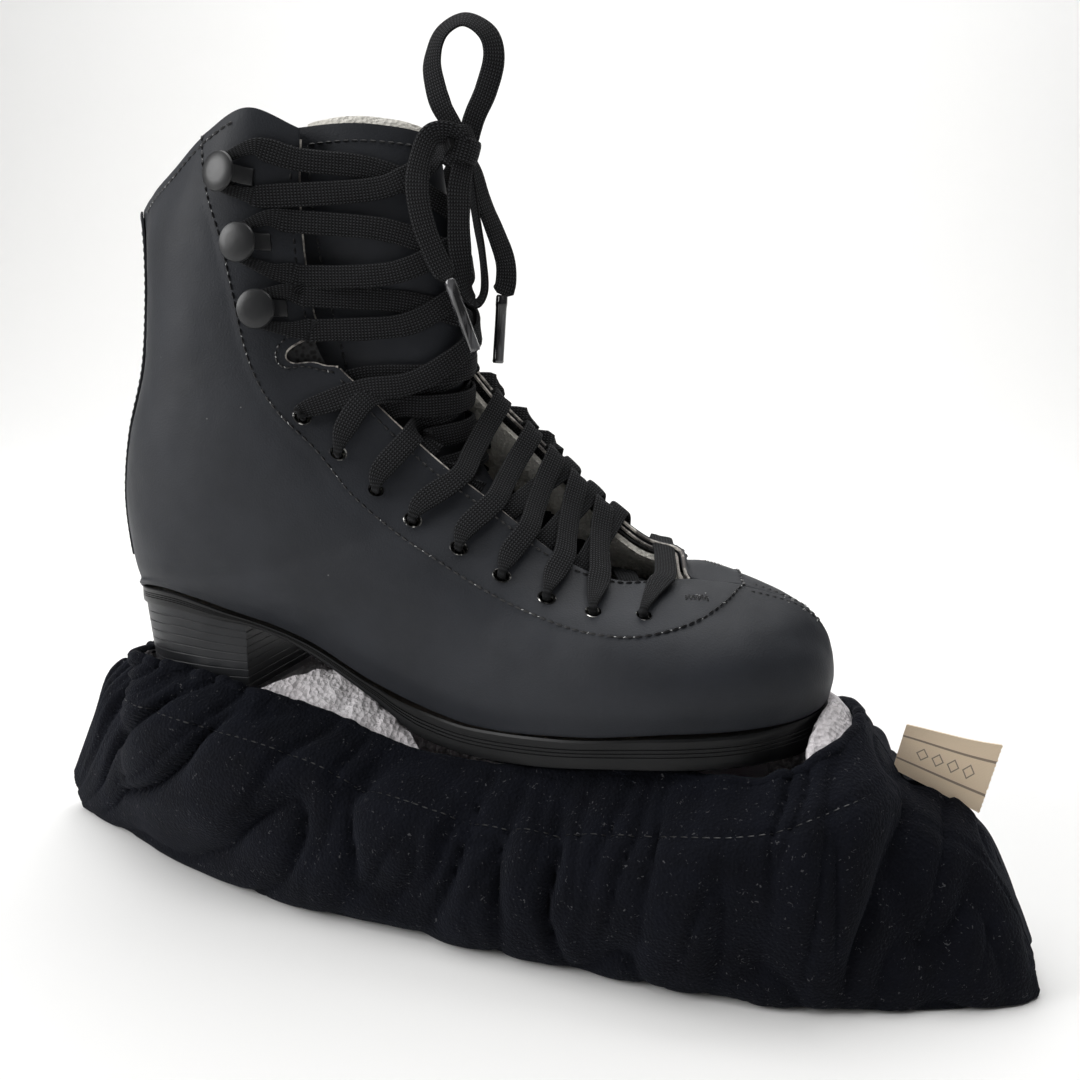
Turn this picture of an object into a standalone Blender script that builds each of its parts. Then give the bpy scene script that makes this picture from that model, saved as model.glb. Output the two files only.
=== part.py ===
"""A laced figure-skate boot with its blade inside a fleece blade cover.

The boot stands in its own frame: +X points to the toe, +Z up, and the boot's right side faces -Y.
Every length below is in millimetres and every point is measured from the back of the heel on the
floor; MM turns them into Blender's metres, and the empty skate_frame moves the whole skate so that
its origin is the centre of the cover's footprint.
"""

import math

import bmesh
import bpy
import numpy as np
from mathutils import Matrix, Vector

MM = 0.001
FRAME_CENTRE_X, FRAME_CENTRE_Y = 144.2, -3.7

# Upper: thickness of each layer and the depth below the outer face where it starts
UPPER_THICK = 2.0
STIFFENER_DEPTH, STIFFENER_THICK = 2.7, 1.1
LINING_DEPTH, LINING_THICK = 5.0, 2.6
SEAM_GAP = 0.2

# Lacing hardware
# Each eyelet's place on the upper as (row, column), from the toe end up
RIGHT_EYELETS = ((14.25, 3.7), (13.3, 3.9), (12.3, 4.1), (11.2, 4.25), (9.95, 4.35), (8.25, 4.4),
                 (6.5, 4.45),
                 (5.15, 4.4), (4.15, 4.3))
LEFT_EYELETS = ((13.4, 3.9), (12.65, 4.0), (11.75, 4.1), (10.7, 4.2), (9.4, 4.3), (7.7, 4.35), (6.0, 4.4),
                (4.7, 4.35), (3.75, 4.3))
EYELET_COUNT = len(RIGHT_EYELETS)
# The notch in each flap's edge at the ankle, as (row, column); past the last column it leaves the flap
ANKLE_NOTCH = ((2.5, 6.0), (2.55, 5.0), (2.68, 4.75), (2.84, 4.5), (3.0, 4.42), (3.12, 4.5), (3.14, 4.75),
               (3.3, 5.0), (3.5, 6.0))
NOTCH_REACH = 6.0
FACING_END = {-1: 14.6, 1: 13.9}
EYELET_OUTER_R, EYELET_HOLE_R, EYELET_PROUD = 3.1, 2.4, 1.2
HOOK_COUNT = 3
RIGHT_HOOKS = ((2.27, 4.15), (1.51, 4.0), (0.73, 3.75))
LEFT_HOOKS = ((2.2, 4.0), (1.4, 3.95), (0.6, 3.85))
HOOK_DISC_R, HOOK_DISC_THICK = 6.6, 1.6
HOOK_NECK_R, HOOK_STAND = 2.2, 5.2

# Lace: flat woven, pinched round where it goes through an eyelet or a hook
LACE_WIDTH, LACE_THICK = 7.6, 1.5
LACE_PINCH_WIDTH, LACE_PINCH_THICK = 2.8, 2.0
AGLET_R, AGLET_LENGTH = 1.9, 24.0

# Sole and heel
SOLE_TOP_GAP = 0.8
HEEL_BREAST_X = 58.0
HEEL_BOTTOM_BACK_Z, HEEL_BOTTOM_BREAST_Z = 67.5, 71.0

# Blade
RUNNER_THICK, PLATE_THICK, STANCHION_THICK = 4.0, 2.4, 5.0
RUNNER_LOW_Z = 8.6
ROCKER_RADIUS = 2100.0
ROCKER_MID_X = 135.0
SCREW_R, SCREW_HEAD_R, SCREW_HEAD_THICK, HEAD_CLEAR = 2.0, 4.0, 1.6, 0.9
SOLE_SCREWS = ((152, 13), (152, -13), (196, 18), (196, -18), (228, 15), (228, -15))
HEEL_SCREWS = ((16, 11), (16, -11), (45, 14), (45, -14))

# Blade cover
COVER_THICK, COVER_LINING_DEPTH, COVER_LINING_THICK = 2.0, 2.4, 3.2
ELASTIC_R = 1.3

# How finely the surfaces are cut
UPPER_ROWS = 25
GAP = 0.35

# ---------------------------------------------------------------------------------------------
# The upper's shape. Each row is one section of the boot, from the collar (row 0) down the shaft,
# round the heel and along the foot to the middle of the toe (last row). In a row the points run
# from the back seam or the sole's feather edge up to the edge of the throat.
RIGHT_ROWS = (
    ((3, 0, 240.5), (14.5, -13, 245.5), (30, -23, 253.5), (47, -29, 264.5), (64, -31.5, 271.8),
     (79.4, -25, 266)),
    ((6.5, 0, 226), (16.5, -19.5, 228), (29, -30, 232), (43, -35, 238), (62, -34, 243.5),
     (79.2, -25.5, 243)),
    ((6.3, 0, 207), (16.5, -20.5, 207), (29, -32.5, 209), (44, -38, 211.5), (65, -36, 214), (83, -26, 212)),
    ((4, 0, 184), (14.5, -21, 184), (28, -34, 185), (45, -39.5, 187), (68, -37, 190.5), (90, -26, 193)),
    ((-2, 0, 160), (8.5, -22, 160), (24, -35.5, 161), (47, -40.5, 165), (75, -38, 172), (101, -24, 181.6)),
    ((-4.5, 0, 137), (6.5, -22.5, 137), (24, -36, 139), (51, -41, 146), (83, -37.5, 157),
     (112, -22.5, 171.5)),
    ((-2.5, 0, 115), (8.5, -22, 117), (26, -34.5, 120), (57, -40.5, 130), (91, -37.5, 144.5),
     (122, -21, 163)),
    ((1, 0, 103.5), (10, -21, 109), (29, -34, 114.5), (64, -40, 124), (98, -37, 139), (132, -19.5, 155)),
    ((7, -18, 105), (18, -27.5, 109), (42, -35.5, 113.5), (76, -39.5, 121.5), (107.5, -36, 134.5),
     (139, -19, 150.5)),
    ((25, -28, 106.5), (37, -33, 109.5), (60, -37.5, 113), (90, -39.5, 120.5), (118, -35.5, 131),
     (146, -18, 145.5)),
    ((50, -30.3, 102), (62, -35, 106.5), (83, -38, 110), (108, -39, 118), (131, -34.5, 127),
     (155, -17.5, 139)),
    ((80, -29, 94), (91, -34, 98.5), (108, -37, 104), (129, -38, 113.5), (146, -33, 122),
     (166, -16.5, 131)),
    ((110, -28.5, 79.5), (120, -34.5, 87.5), (134, -38, 97.5), (150, -38, 108.5), (163, -31.5, 117.5),
     (178, -15.5, 124.8)),
    ((145, -34.5, 72), (152, -40, 83), (162, -42, 95.5), (173, -40, 106.5), (181, -30, 115),
     (190, -13, 121.5)),
    ((180, -42.3, 75), (185, -46, 86), (190, -45.5, 98), (195, -40, 108.5), (199, -27, 116),
     (201, -7, 121.3)),
    ((212, -42, 79.5), (214, -45, 90), (215, -43, 101), (214.5, -34.5, 111), (214, -18.5, 118),
     (213, 0, 121.2)),
    ((238, -33, 81.7), (240, -34.5, 92), (239, -32.5, 103), (236, -25.5, 111.5), (234, -13.5, 117),
     (231, 0, 120.5)),
    ((255, -17, 83), (257, -18, 92.5), (255.5, -17, 101.5), (252, -13, 108.5), (250.5, -7, 113.5),
     (248, 0, 116.5)),
    ((260.5, 0, 85), (261.5, 0, 92), (261, 0, 98), (260, 0, 102.5), (258.7, 0, 106.5), (256.7, 0, 110)),
)
# The left side carries the arch of the foot, so its flap stands higher and further forward. These
# are its last three points in each row; the first three mirror the right side's.
LEFT_TOPS = (
    ((47, 29.5, 258.5), (66, 31, 259), (88, 24, 252)),
    ((45, 35.5, 235), (70, 34.5, 238), (98, 22, 236)),
    ((46, 39, 211.5), (74, 38, 215), (107, 20.5, 219)),
    ((47, 40.5, 188), (78, 38.5, 194), (115, 19, 205)),
    ((50, 41.5, 167), (86, 38.5, 178), (124, 17.5, 192.5)),
    ((55, 42, 149), (94, 38, 165), (133, 16.5, 182.5)),
    ((61, 41.5, 134), (102, 37.5, 154), (141, 16, 174.5)),
    ((68, 41, 128), (109, 37, 147.5), (148, 16, 168.5)),
    ((79, 41, 125), (118, 36, 142.5), (153, 16, 164)),
    ((93, 41, 124), (128, 35.5, 138.5), (158.5, 16, 159)),
    ((111, 40.5, 121), (140, 34.5, 133.5), (165, 16, 153)),
    ((131, 40, 116), (154, 33.5, 128), (174, 16, 145)),
    ((151, 40, 111), (169, 32.5, 123), (184, 16, 137.5)),
    ((173, 41.5, 109), (185, 31, 120), (194, 15.5, 131.5)),
    ((195, 41, 110.5), (201, 27.5, 120.5), (206.5, 12.5, 128.8)),
    ((214.5, 36, 112.5), (214.5, 17, 124), (213, 0, 121.2)),
    ((236, 26, 112.5), (234, 13, 120), (231, 0, 120.5)),
    ((252, 13, 108.5), (250.5, 7, 114), (248, 0, 116.5)),
    ((260, 0, 102.5), (258.7, 0, 106.5), (256.7, 0, 110)),
)
BACK_SEAM_LAST_ROW = 7
TOE_SEAM_FIRST_ROW = 15

# The tongue, from its sewn end under the vamp (row 0) to its top, right edge to left edge
TONGUE_ROWS = (
    ((218, -24, 101), (220, -17, 106), (222, -9, 109), (223, 0, 110), (222, 9, 110.5), (220, 17, 108),
     (218, 24, 103)),
    ((195, -25, 102), (197, -18, 108), (199, -9, 111), (200, 0, 112), (200, 9, 112.5), (198, 18, 110),
     (195, 26, 104)),
    ((168, -25, 106), (171, -18, 113), (174, -9, 117), (176, 0, 118.5), (177, 9, 119), (174, 18, 116),
     (169, 26, 109)),
    ((146, -24, 115), (151, -17, 123), (155, -9, 128), (157, 0, 130), (157, 9, 131), (152, 17, 128),
     (146, 25, 120)),
    ((124, -24, 129), (132, -17, 138), (137, -9, 143.5), (139, 0, 145.5), (139, 9, 147), (134, 16, 143.5),
     (126, 24, 134)),
    ((98, -20, 144), (112, -16, 155), (123, -9, 164), (127.5, 0, 167.5), (127, 8, 169), (119, 14, 165),
     (105, 21, 153)),
    ((84, -19, 186), (108, -15.5, 191), (124, -9, 193.5), (129.5, 0, 194), (124, 7, 195), (113, 11.5, 193),
     (93, 17, 190)),
    ((78, -18, 210), (101, -16, 214), (120, -9, 216), (127, 0, 216), (121, 7.5, 217), (108, 12.5, 216),
     (88, 17, 213)),
    ((72, -18.5, 236), (97, -17, 239), (115, -10, 240), (122.5, 0, 240), (116, 8.5, 240), (102, 14, 239),
     (80, 18, 236)),
    ((70, -19, 268), (93, -17, 270), (110, -10, 269), (118, 0, 267), (111, 8.5, 268), (97, 14, 268),
     (76, 18, 266)),
)
TONGUE_THICK, TONGUE_PAD_DEPTH, TONGUE_PAD_THICK = 1.8, 2.2, 4.5

# The bow: its knot in front of the tongue's top, two loops, two ends and their aglets
KNOT, KNOT_SIZE = (126.5, -3, 265), (5.5, 7.0, 6.5)
BOW_ROUTES = {
    "bow_loop_up": ((123, -3, 273), (117.5, -4, 283), (114.5, -3, 293), (119.5, 0, 301.5), (128, 1, 304.5),
                    (136, 2, 300.5), (139.5, 2, 290), (135, 1, 280), (130, -2, 273)),
    "bow_loop_down": ((132, -7, 259), (131, -9, 248), (130.5, -10, 235), (131.5, -10, 221),
                      (134.5, -9, 211.5),
                      (138, -8, 214), (138.5, -6, 228), (136.5, -4, 243), (133.5, -2, 256.5)),
    "lace_end_near": ((120, -8, 268), (115, -13.5, 265), (112, -18, 256), (113, -20.5, 245),
                      (117, -20, 233),
                      (122, -18.5, 223.5), (125.3, -17, 218.6)),
    "lace_end_far": ((133, 3, 262), (136.5, 4, 249), (140, 5, 237), (142.3, 5, 226), (141.5, 4.3, 218.5),
                     (140.3, 4, 215)),
}
AGLETS = {
    "aglet_near": ((125.8, -17, 217.8), (136.9, -16, 195.3)),
    "aglet_far": ((140.1, 4, 214.2), (139.7, 4, 191)),
}

# The sewn tag on the cover's front seam: its lower and upper edges' ends, and its thickness
TAG_EDGE = ((284.5, 0, 66.8), (314, 0, 53.8))
TAG_TOP = ((287.5, 0, 80), (318.5, -2, 76))
TAG_THICK = 0.8

# The sole's outline on the right side (x, half width), heel to toe, and its top and bottom (x, z)
SOLE_OUTLINE = ((1, 0), (2.8, 8), (6.5, 15), (13, 21.5), (23, 26.8), (35, 29.3), (48, 30), (75, 29),
                (100, 28),
                (125, 30), (150, 35.5), (178, 42), (200, 43.5), (220, 41.5), (238, 34), (251, 22.5), (259,
                    9),
                (261.5, 0))
SOLE_TOP = ((-1, 103.2), (25, 106), (50, 101.5), (80, 93.7), (110, 79.2), (125, 74), (145, 71.7),
            (180, 74.7),
            (212, 79.2), (238, 81.4), (262, 84.5))
SOLE_BOTTOM = ((-1, 96.5), (25, 99), (50, 97), (60, 96), (75, 91.8), (85, 86.8), (97, 79.9), (110, 72.2),
               (122, 64.6),
               (130, 62), (141, 60.8), (160, 61.4), (199, 66.4), (233, 69.2), (262, 71))

# The blade cover: for each section from back tip to front tip, the top edge (x, y, z), the x of
# its foot, the belly's half width and how far the belly leans along X
COVER_SECTIONS = (
    ((-44, 0, 14), -38, 4), ((-31, 0, 41), -21, 13), ((-21, 0, 62), -4, 20), ((-3, 0, 73.5), 9, 27),
    ((3, -20, 76), 18, 32), ((13, -32.5, 78), 29, 37), ((31, -37, 78), 43, 42), ((50, -38, 76), 58, 47),
    ((68, -35, 73.5), 75, 51), ((92, -32, 68), 96, 54), ((116, -32.5, 61), 118, 55), ((145, -34, 55.5), 146,
        55.5),
    ((180, -36, 56), 180, 56), ((210, -36, 60), 210, 56), ((232, -39, 64), 233, 55.5), ((250, -37, 70), 254,
        53),
    ((265, -26, 77), 273, 47.5), ((272, -10, 79), 285, 42), ((274, 0, 78), 295, 38), ((286, 0, 63), 305,
        32),
    ((308, 0, 53), 318, 24.5), ((321, 0, 34), 327, 17), ((330, 0, 12), 333, 9),
)
# The belly leans to the right by this much per millimetre in front of this x, less and less up to the rim
COVER_LEAN, COVER_LEAN_FROM, COVER_LEAN_TOP = 0.045, 70.0, 75.0
COVER_OPEN_FIRST, COVER_OPEN_LAST = 3, 18
COVER_ROWS = 28


# ---------------------------------------------------------------------------------------------
# Geometry helpers

def catmull(points, places):
    """Points of the smooth curve through points[1:-1] at the places 0 .. n-3 (a Catmull-Rom curve)."""
    last = len(points) - 3
    places = np.clip(places, 0, last)
    first = np.minimum(places.astype(int), last - 1)
    t = (places - first).reshape((-1,) + (1,) * (points.ndim - 1))
    p0, p1, p2, p3 = (points[first + k] for k in range(4))
    return p1 + 0.5 * t * (p2 - p0 + t * (2 * p0 - 5 * p1 + 4 * p2 - p3 + t * (3 * (p1 - p2) + p3 - p0)))


def open_ends(points):
    """The points with one more at each end, carried straight on."""
    points = np.asarray(points, float)
    return np.concatenate([[2 * points[0] - points[1]], points, [2 * points[-1] - points[-2]]])


def curve_through(points, count):
    points = np.asarray(points, float)
    return catmull(open_ends(points), np.linspace(0, len(points) - 1, count))


def level(table, x):
    """Height or width at x, read from a table of (x, value) pairs by a smooth curve."""
    table = np.asarray(table, float)
    places = np.interp(x, table[:, 0], np.arange(len(table)))
    return catmull(open_ends(table[:, 1:]), np.atleast_1d(places))[:, 0]


def upper_nets():
    """The right and left nets, each with a border that carries the surface smoothly over the seams."""
    right = np.array(RIGHT_ROWS, float)
    left = np.concatenate([right[:, :3] * (1, -1, 1), np.array(LEFT_TOPS, float)], axis=1)
    padded = []
    for net, other in ((right, left), (left, right)):
        full = np.stack([open_ends(row) for row in net])
        full[: BACK_SEAM_LAST_ROW + 1, 0] = other[: BACK_SEAM_LAST_ROW + 1, 1]
        full[TOE_SEAM_FIRST_ROW:, -1] = other[TOE_SEAM_FIRST_ROW:, -2]
        top = 2 * full[0] - full[1]
        toe = full[-2] * (1, -1, 1)
        padded.append(np.concatenate([[top], full, [toe]]))
    return padded


RIGHT_NET, LEFT_NET = upper_nets()
ROW_LAST = len(RIGHT_ROWS) - 1
COLUMN_LAST = len(RIGHT_ROWS[0]) - 1


UPPER_ROW_PLACES = np.linspace(0, ROW_LAST, UPPER_ROWS)
UPPER_COLUMN_PLACES = (0, 0.5, 1, 1.8, 2.7, 3.6, 4.1, 4.6, 5)


def rows_between(low, high):
    """The upper's own rows in a range, so that layers cut from them lie parallel."""
    return UPPER_ROW_PLACES[(UPPER_ROW_PLACES >= low) & (UPPER_ROW_PLACES <= high)]


def skin(net, rows, columns):
    """A grid of points of the surface over a bordered net, at the given rows and columns."""
    across = np.stack([catmull(row, np.asarray(columns, float)) for row in net])
    return catmull(across, np.asarray(rows, float))


def skin_point(net, row, column):
    """The point at (row, column) of a bordered net, its normal, and the direction along the rows."""
    step = 0.02
    last_row, last_column = len(net) - 3, net.shape[1] - 3
    r = min(max(row, step), last_row - step)
    c = min(max(column, step), last_column - step)
    grid = skin(net, [r - step, r, r + step], [c - step, c, c + step])
    along = grid[2, 1] - grid[0, 1]
    across = grid[1, 2] - grid[1, 0]
    normal = np.cross(along, across)
    if net is LEFT_NET:
        normal = -normal
    return skin(net, [row], [column])[0, 0], unit(normal), unit(along)


def unit(vector):
    return np.asarray(vector, float) / max(np.linalg.norm(vector), 1e-9)


def grid_normals(grid):
    """Unit normals of a grid of points, rows x columns, by central differences."""
    along = np.gradient(grid, axis=0)
    across = np.gradient(grid, axis=1)
    normal = np.cross(across, along)
    return normal / np.maximum(np.linalg.norm(normal, axis=2, keepdims=True), 1e-9)


# ---------------------------------------------------------------------------------------------
# Scene helpers

def clear_scene():
    for old in list(bpy.data.objects):
        bpy.data.objects.remove(old, do_unlink=True)
    for old in list(bpy.data.collections):
        bpy.data.collections.remove(old)


def new_collection(name):
    collection = bpy.data.collections.new(name)
    bpy.context.scene.collection.children.link(collection)
    return collection


def material(name, colour, roughness, metallic=0.0):
    made = bpy.data.materials.new(name)
    made.use_nodes = True
    shader = made.node_tree.nodes["Principled BSDF"]
    shader.inputs["Base Color"].default_value = (*colour, 1)
    shader.inputs["Roughness"].default_value = roughness
    shader.inputs["Metallic"].default_value = metallic
    made.diffuse_color = (*colour, 1)
    return made


def add_object(name, mesh, finish, parent=None):
    obj = bpy.data.objects.new(name, mesh)
    obj.data.materials.append(finish)
    PARTS.objects.link(obj)
    obj.parent = parent or FRAME
    return obj


def mesh_from(name, points, faces):
    mesh = bpy.data.meshes.new(name)
    mesh.from_pydata([tuple(p * MM) for p in np.asarray(points, float)], [], [tuple(f) for f in faces])
    tidy_mesh(mesh)
    return mesh


def tidy_mesh(mesh):
    """Joins points that lie together and turns every face outwards."""
    shape = bmesh.new()
    shape.from_mesh(mesh)
    bmesh.ops.remove_doubles(shape, verts=shape.verts, dist=0.000002)
    bmesh.ops.dissolve_degenerate(shape, edges=shape.edges, dist=0.000001)
    bmesh.ops.recalc_face_normals(shape, faces=shape.faces)
    shape.to_mesh(mesh)
    shape.free()
    mesh.shade_smooth()
    mesh.set_sharp_from_angle(angle=math.radians(40))


def grid_faces(rows, columns, first=0):
    return [
        (first + r * columns + c, first + r * columns + c + 1, first + (r + 1) * columns + c + 1,
         first + (r + 1) * columns + c)
        for r in range(rows - 1)
        for c in range(columns - 1)
    ]


def slab(name, outer, inner, finish, parent=None):
    """A closed sheet between two grids of points with the same layout."""
    rows, columns = outer.shape[:2]
    count = rows * columns
    faces = grid_faces(rows, columns) + grid_faces(rows, columns, count)
    ring = [(0, c) for c in range(columns)] + [(r, columns - 1) for r in range(1, rows)]
    ring += [(rows - 1, c) for c in range(columns - 2, -1, -1)] + [(r, 0) for r in range(rows - 2, 0, -1)]
    ids = [r * columns + c for r, c in ring]
    faces += [(a, b, b + count, a + count) for a, b in zip(ids, ids[1:] + ids[:1])]
    points = np.concatenate([outer.reshape(-1, 3), inner.reshape(-1, 3)])
    return add_object(name, mesh_from(name, points, faces), finish, parent)


def loft(sections):
    """Points and faces of a closed body through equal rings of points, with flat ends."""
    count = len(sections[0])
    faces = []
    for s in range(len(sections) - 1):
        a, b = s * count, (s + 1) * count
        faces += [(a + k, a + (k + 1) % count, b + (k + 1) % count, b + k) for k in range(count)]
    last = (len(sections) - 1) * count
    faces += [tuple(range(count))[::-1], tuple(range(last, last + count))]
    return np.concatenate(sections), faces


def loft_object(name, sections, finish, parent=None):
    points, faces = loft([np.asarray(s, float) for s in sections])
    return add_object(name, mesh_from(name, points, faces), finish, parent)


def plate_object(name, outline, low, high, finish, parent=None):
    """A flat or bent plate: outline (x, half width) mirrored in Y, between two height functions of x."""
    outline = np.asarray(outline, float)
    x, half = outline[:, 0], np.maximum(outline[:, 1], 0.05)
    bottom, top = low(x), high(x)
    sections = [
        [(xi, -w, b), (xi, w, b), (xi, w, t), (xi, -w, t)] for xi, w, b, t in zip(x, half, bottom, top)
    ]
    return loft_object(name, sections, finish, parent)


def tube_curve(name, route, radius, finish, parent=None, closed=False):
    """A round cord along a list of points, as a curve with a bevel."""
    curve = bpy.data.curves.new(name, "CURVE")
    curve.dimensions = "3D"
    curve.bevel_depth = radius * MM
    curve.bevel_resolution = 2
    curve.use_fill_caps = True
    spline = curve.splines.new("POLY")
    spline.points.add(len(route) - 1)
    for point, place in zip(spline.points, route):
        point.co = (*(np.asarray(place, float) * MM), 1)
    spline.use_cyclic_u = closed
    return add_object(name, curve, finish, parent)


def boolean(obj, other, operation):
    cut = obj.modifiers.new(other.name, "BOOLEAN")
    cut.operation = operation
    cut.object = other


def cylinder_mesh(name, radius, low, high, place, axis, sides=12, top_radius=None):
    """A cylinder or cone along axis, from low to high beyond place."""
    shape = bmesh.new()
    bmesh.ops.create_cone(shape, cap_ends=True, segments=sides, radius1=radius * MM,
                          radius2=(top_radius or radius) * MM, depth=(high - low) * MM)
    turn = Vector((0, 0, 1)).rotation_difference(Vector(unit(axis))).to_matrix().to_4x4()
    centre = np.asarray(place, float) + unit(axis) * (low + high) / 2
    bmesh.ops.transform(shape, matrix=Matrix.Translation(Vector(centre * MM)) @ turn, verts=shape.verts)
    mesh = bpy.data.meshes.new(name)
    shape.to_mesh(mesh)
    shape.free()
    tidy_mesh(mesh)
    return mesh


def cutter(name, mesh):
    obj = bpy.data.objects.new(name, mesh)
    CUTTERS.objects.link(obj)
    obj.parent = FRAME
    obj.hide_render = True
    obj.display_type = "WIRE"
    return obj


def joined_mesh(name, meshes):
    shape = bmesh.new()
    for mesh in meshes:
        shape.from_mesh(mesh)
    made = bpy.data.meshes.new(name)
    shape.to_mesh(made)
    shape.free()
    return made


def empty_at(name, place, parent):
    pivot = bpy.data.objects.new(name, None)
    PARTS.objects.link(pivot)
    pivot.parent = parent
    pivot.location = Vector(np.asarray(place, float) * MM)
    return pivot


def keep_world(obj, pivot):
    """Hangs an object on a pivot without moving it."""
    obj.parent = pivot
    obj.matrix_parent_inverse = Matrix.Translation(-pivot.location)
    return obj


# ---------------------------------------------------------------------------------------------
# Boot

def upper_layer(name, side, depth, thick, rows, columns, finish, seam=SEAM_GAP):
    """One layer of one side of the upper, as a closed sheet between two depths under its outer face."""
    net = RIGHT_NET if side < 0 else LEFT_NET
    grid = skin(net, rows, columns)
    normal = grid_normals(grid) * side
    outer = grid - normal * depth
    inner = grid - normal * (depth + thick)
    for sheet in (outer, inner):
        sheet[..., 1] = side * np.maximum(side * sheet[..., 1], seam)
    return slab(name, outer, inner, finish)


def eyelet_places(side):
    """Row and column of each eyelet on one side, lowest (nearest the toe) first."""
    return RIGHT_EYELETS if side < 0 else LEFT_EYELETS


def hook_places(side):
    """Row and column of each hook on one side, lowest first."""
    return RIGHT_HOOKS if side < 0 else LEFT_HOOKS


def notch_mesh(side):
    """The rounded notch in the flap's edge at the ankle, as a block that cuts through every layer."""
    sections = []
    for depth in (-9, -5, -2, 1, 5):
        ring = []
        for row, column in ANKLE_NOTCH:
            place, normal, _ = skin_point(side_net(side), row, min(column, COLUMN_LAST))
            beyond = place - skin_point(side_net(side), row, COLUMN_LAST - 0.4)[0]
            if column <= COLUMN_LAST:
                beyond *= 0
            ring.append(place + unit(beyond) * (column - COLUMN_LAST) * NOTCH_REACH + normal * depth)
        sections.append(ring[::side])
    return mesh_from("ankle_notch", *loft([np.array(ring) for ring in sections]))


def add_upper(finish):
    for side, name in ((-1, "right"), (1, "left")):
        obj = upper_layer(f"upper_{name}", side, 0, UPPER_THICK, UPPER_ROW_PLACES, UPPER_COLUMN_PLACES,
                          finish["leather"])
        holes = []
        for row, column in eyelet_places(side):
            place, normal, _ = skin_point(RIGHT_NET if side < 0 else LEFT_NET, row, column)
            holes.append(cylinder_mesh("hole", EYELET_OUTER_R + 0.5, -5, 4, place, normal, 8))
        boolean(obj, cutter(f"eyelet_holes_{name}", joined_mesh("holes", holes)), "DIFFERENCE")
        boolean(obj, cutter(f"notch_{name}", notch_mesh(side)), "DIFFERENCE")


def add_lining(finish):
    rows = rows_between(0.1, ROW_LAST - 0.7)
    columns = (0.25, *UPPER_COLUMN_PLACES[1:6])
    for side, name in ((-1, "right"), (1, "left")):
        upper_layer(f"lining_{name}", side, LINING_DEPTH, LINING_THICK, rows, columns, finish["lining"],
                    0.3)


def add_stiffeners(finish):
    for side, name in ((-1, "right"), (1, "left")):
        upper_layer(f"heel_counter_{name}", side, STIFFENER_DEPTH, STIFFENER_THICK,
                    rows_between(4.3, 9.5), UPPER_COLUMN_PLACES[1:5], finish["board"], 0.3)
        upper_layer(f"toe_puff_{name}", side, STIFFENER_DEPTH, STIFFENER_THICK,
                    rows_between(15.2, ROW_LAST - 0.9), UPPER_COLUMN_PLACES[1:7], finish["board"], 0.3)


def add_facings(finish):
    """The strip under each flap's edge, with its nine eyelets clenched through it."""
    for side, name in ((-1, "right"), (1, "left")):
        net = RIGHT_NET if side < 0 else LEFT_NET
        obj = upper_layer(f"facing_{name}", side, STIFFENER_DEPTH, STIFFENER_THICK,
                          rows_between(0.3, FACING_END[side]), (*UPPER_COLUMN_PLACES[5:8],
                              4.9), finish["leather"])
        for index, (row, column) in enumerate(eyelet_places(side)):
            place, normal, _ = skin_point(net, row, column)
            barrel = cylinder_mesh("eyelet", EYELET_OUTER_R, -STIFFENER_DEPTH - 1, EYELET_PROUD, place,
                                   normal, 8)
            boolean(obj, cutter(f"eyelet_barrel_{name}_{index}", barrel), "UNION")
        bores = []
        for row, column in eyelet_places(side):
            place, normal, _ = skin_point(net, row, column)
            bores.append(cylinder_mesh("bore", EYELET_HOLE_R, -8, 4, place, normal, 8))
        boolean(obj, cutter(f"eyelet_bores_{name}", joined_mesh("bores", bores)), "DIFFERENCE")
        boolean(obj, cutter(f"facing_notch_{name}", notch_mesh(side)), "DIFFERENCE")


def add_hooks(finish):
    for side, name in ((-1, "right"), (1, "left")):
        net = RIGHT_NET if side < 0 else LEFT_NET
        for index, (row, column) in enumerate(hook_places(side), 1):
            place, normal, _ = skin_point(net, row, column)
            disc = cylinder_mesh(f"hook_{name}_{index}", HOOK_DISC_R, HOOK_STAND,
                                 HOOK_STAND + HOOK_DISC_THICK,
                                 place, normal, 12, HOOK_DISC_R * 0.86)
            neck = cylinder_mesh("neck", HOOK_NECK_R, 0.3, HOOK_STAND + 0.4, place, normal, 8)
            foot = cylinder_mesh("foot", HOOK_NECK_R + 1.6, 0.3, 1.1, place, normal, 8)
            obj = add_object(f"hook_{name}_{index}", disc, finish["hook"])
            boolean(obj, cutter(f"hook_neck_{name}_{index}", neck), "UNION")
            boolean(obj, cutter(f"hook_foot_{name}_{index}", foot), "UNION")


def add_back_stay(finish):
    """The strip stitched down the back seam."""
    rows = np.linspace(0.1, 6.1, 12)
    strips = []
    for net, side in ((RIGHT_NET, -1), (LEFT_NET, 1)):
        grid = skin(net, rows, (0, 0.25, 0.5))
        strips.append((grid, grid_normals(grid) * side))
    outline = np.concatenate([strips[0][0][:, ::-1], strips[1][0][:, 1:]], axis=1)
    normal = grid_normals(outline)
    normal *= np.sign(-normal[..., :1].mean())
    slab("back_stay", outline + normal * 1.5, outline + normal * 0.35, finish["leather"])


def tongue_layer(name, depth, thick, rows, columns, finish, parent):
    grid = skin(tongue_net(), rows, columns)
    normal = grid_normals(grid)
    normal *= np.sign(normal[..., 0].mean())
    return slab(name, grid - normal * depth, grid - normal * (depth + thick), finish, parent)


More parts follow.
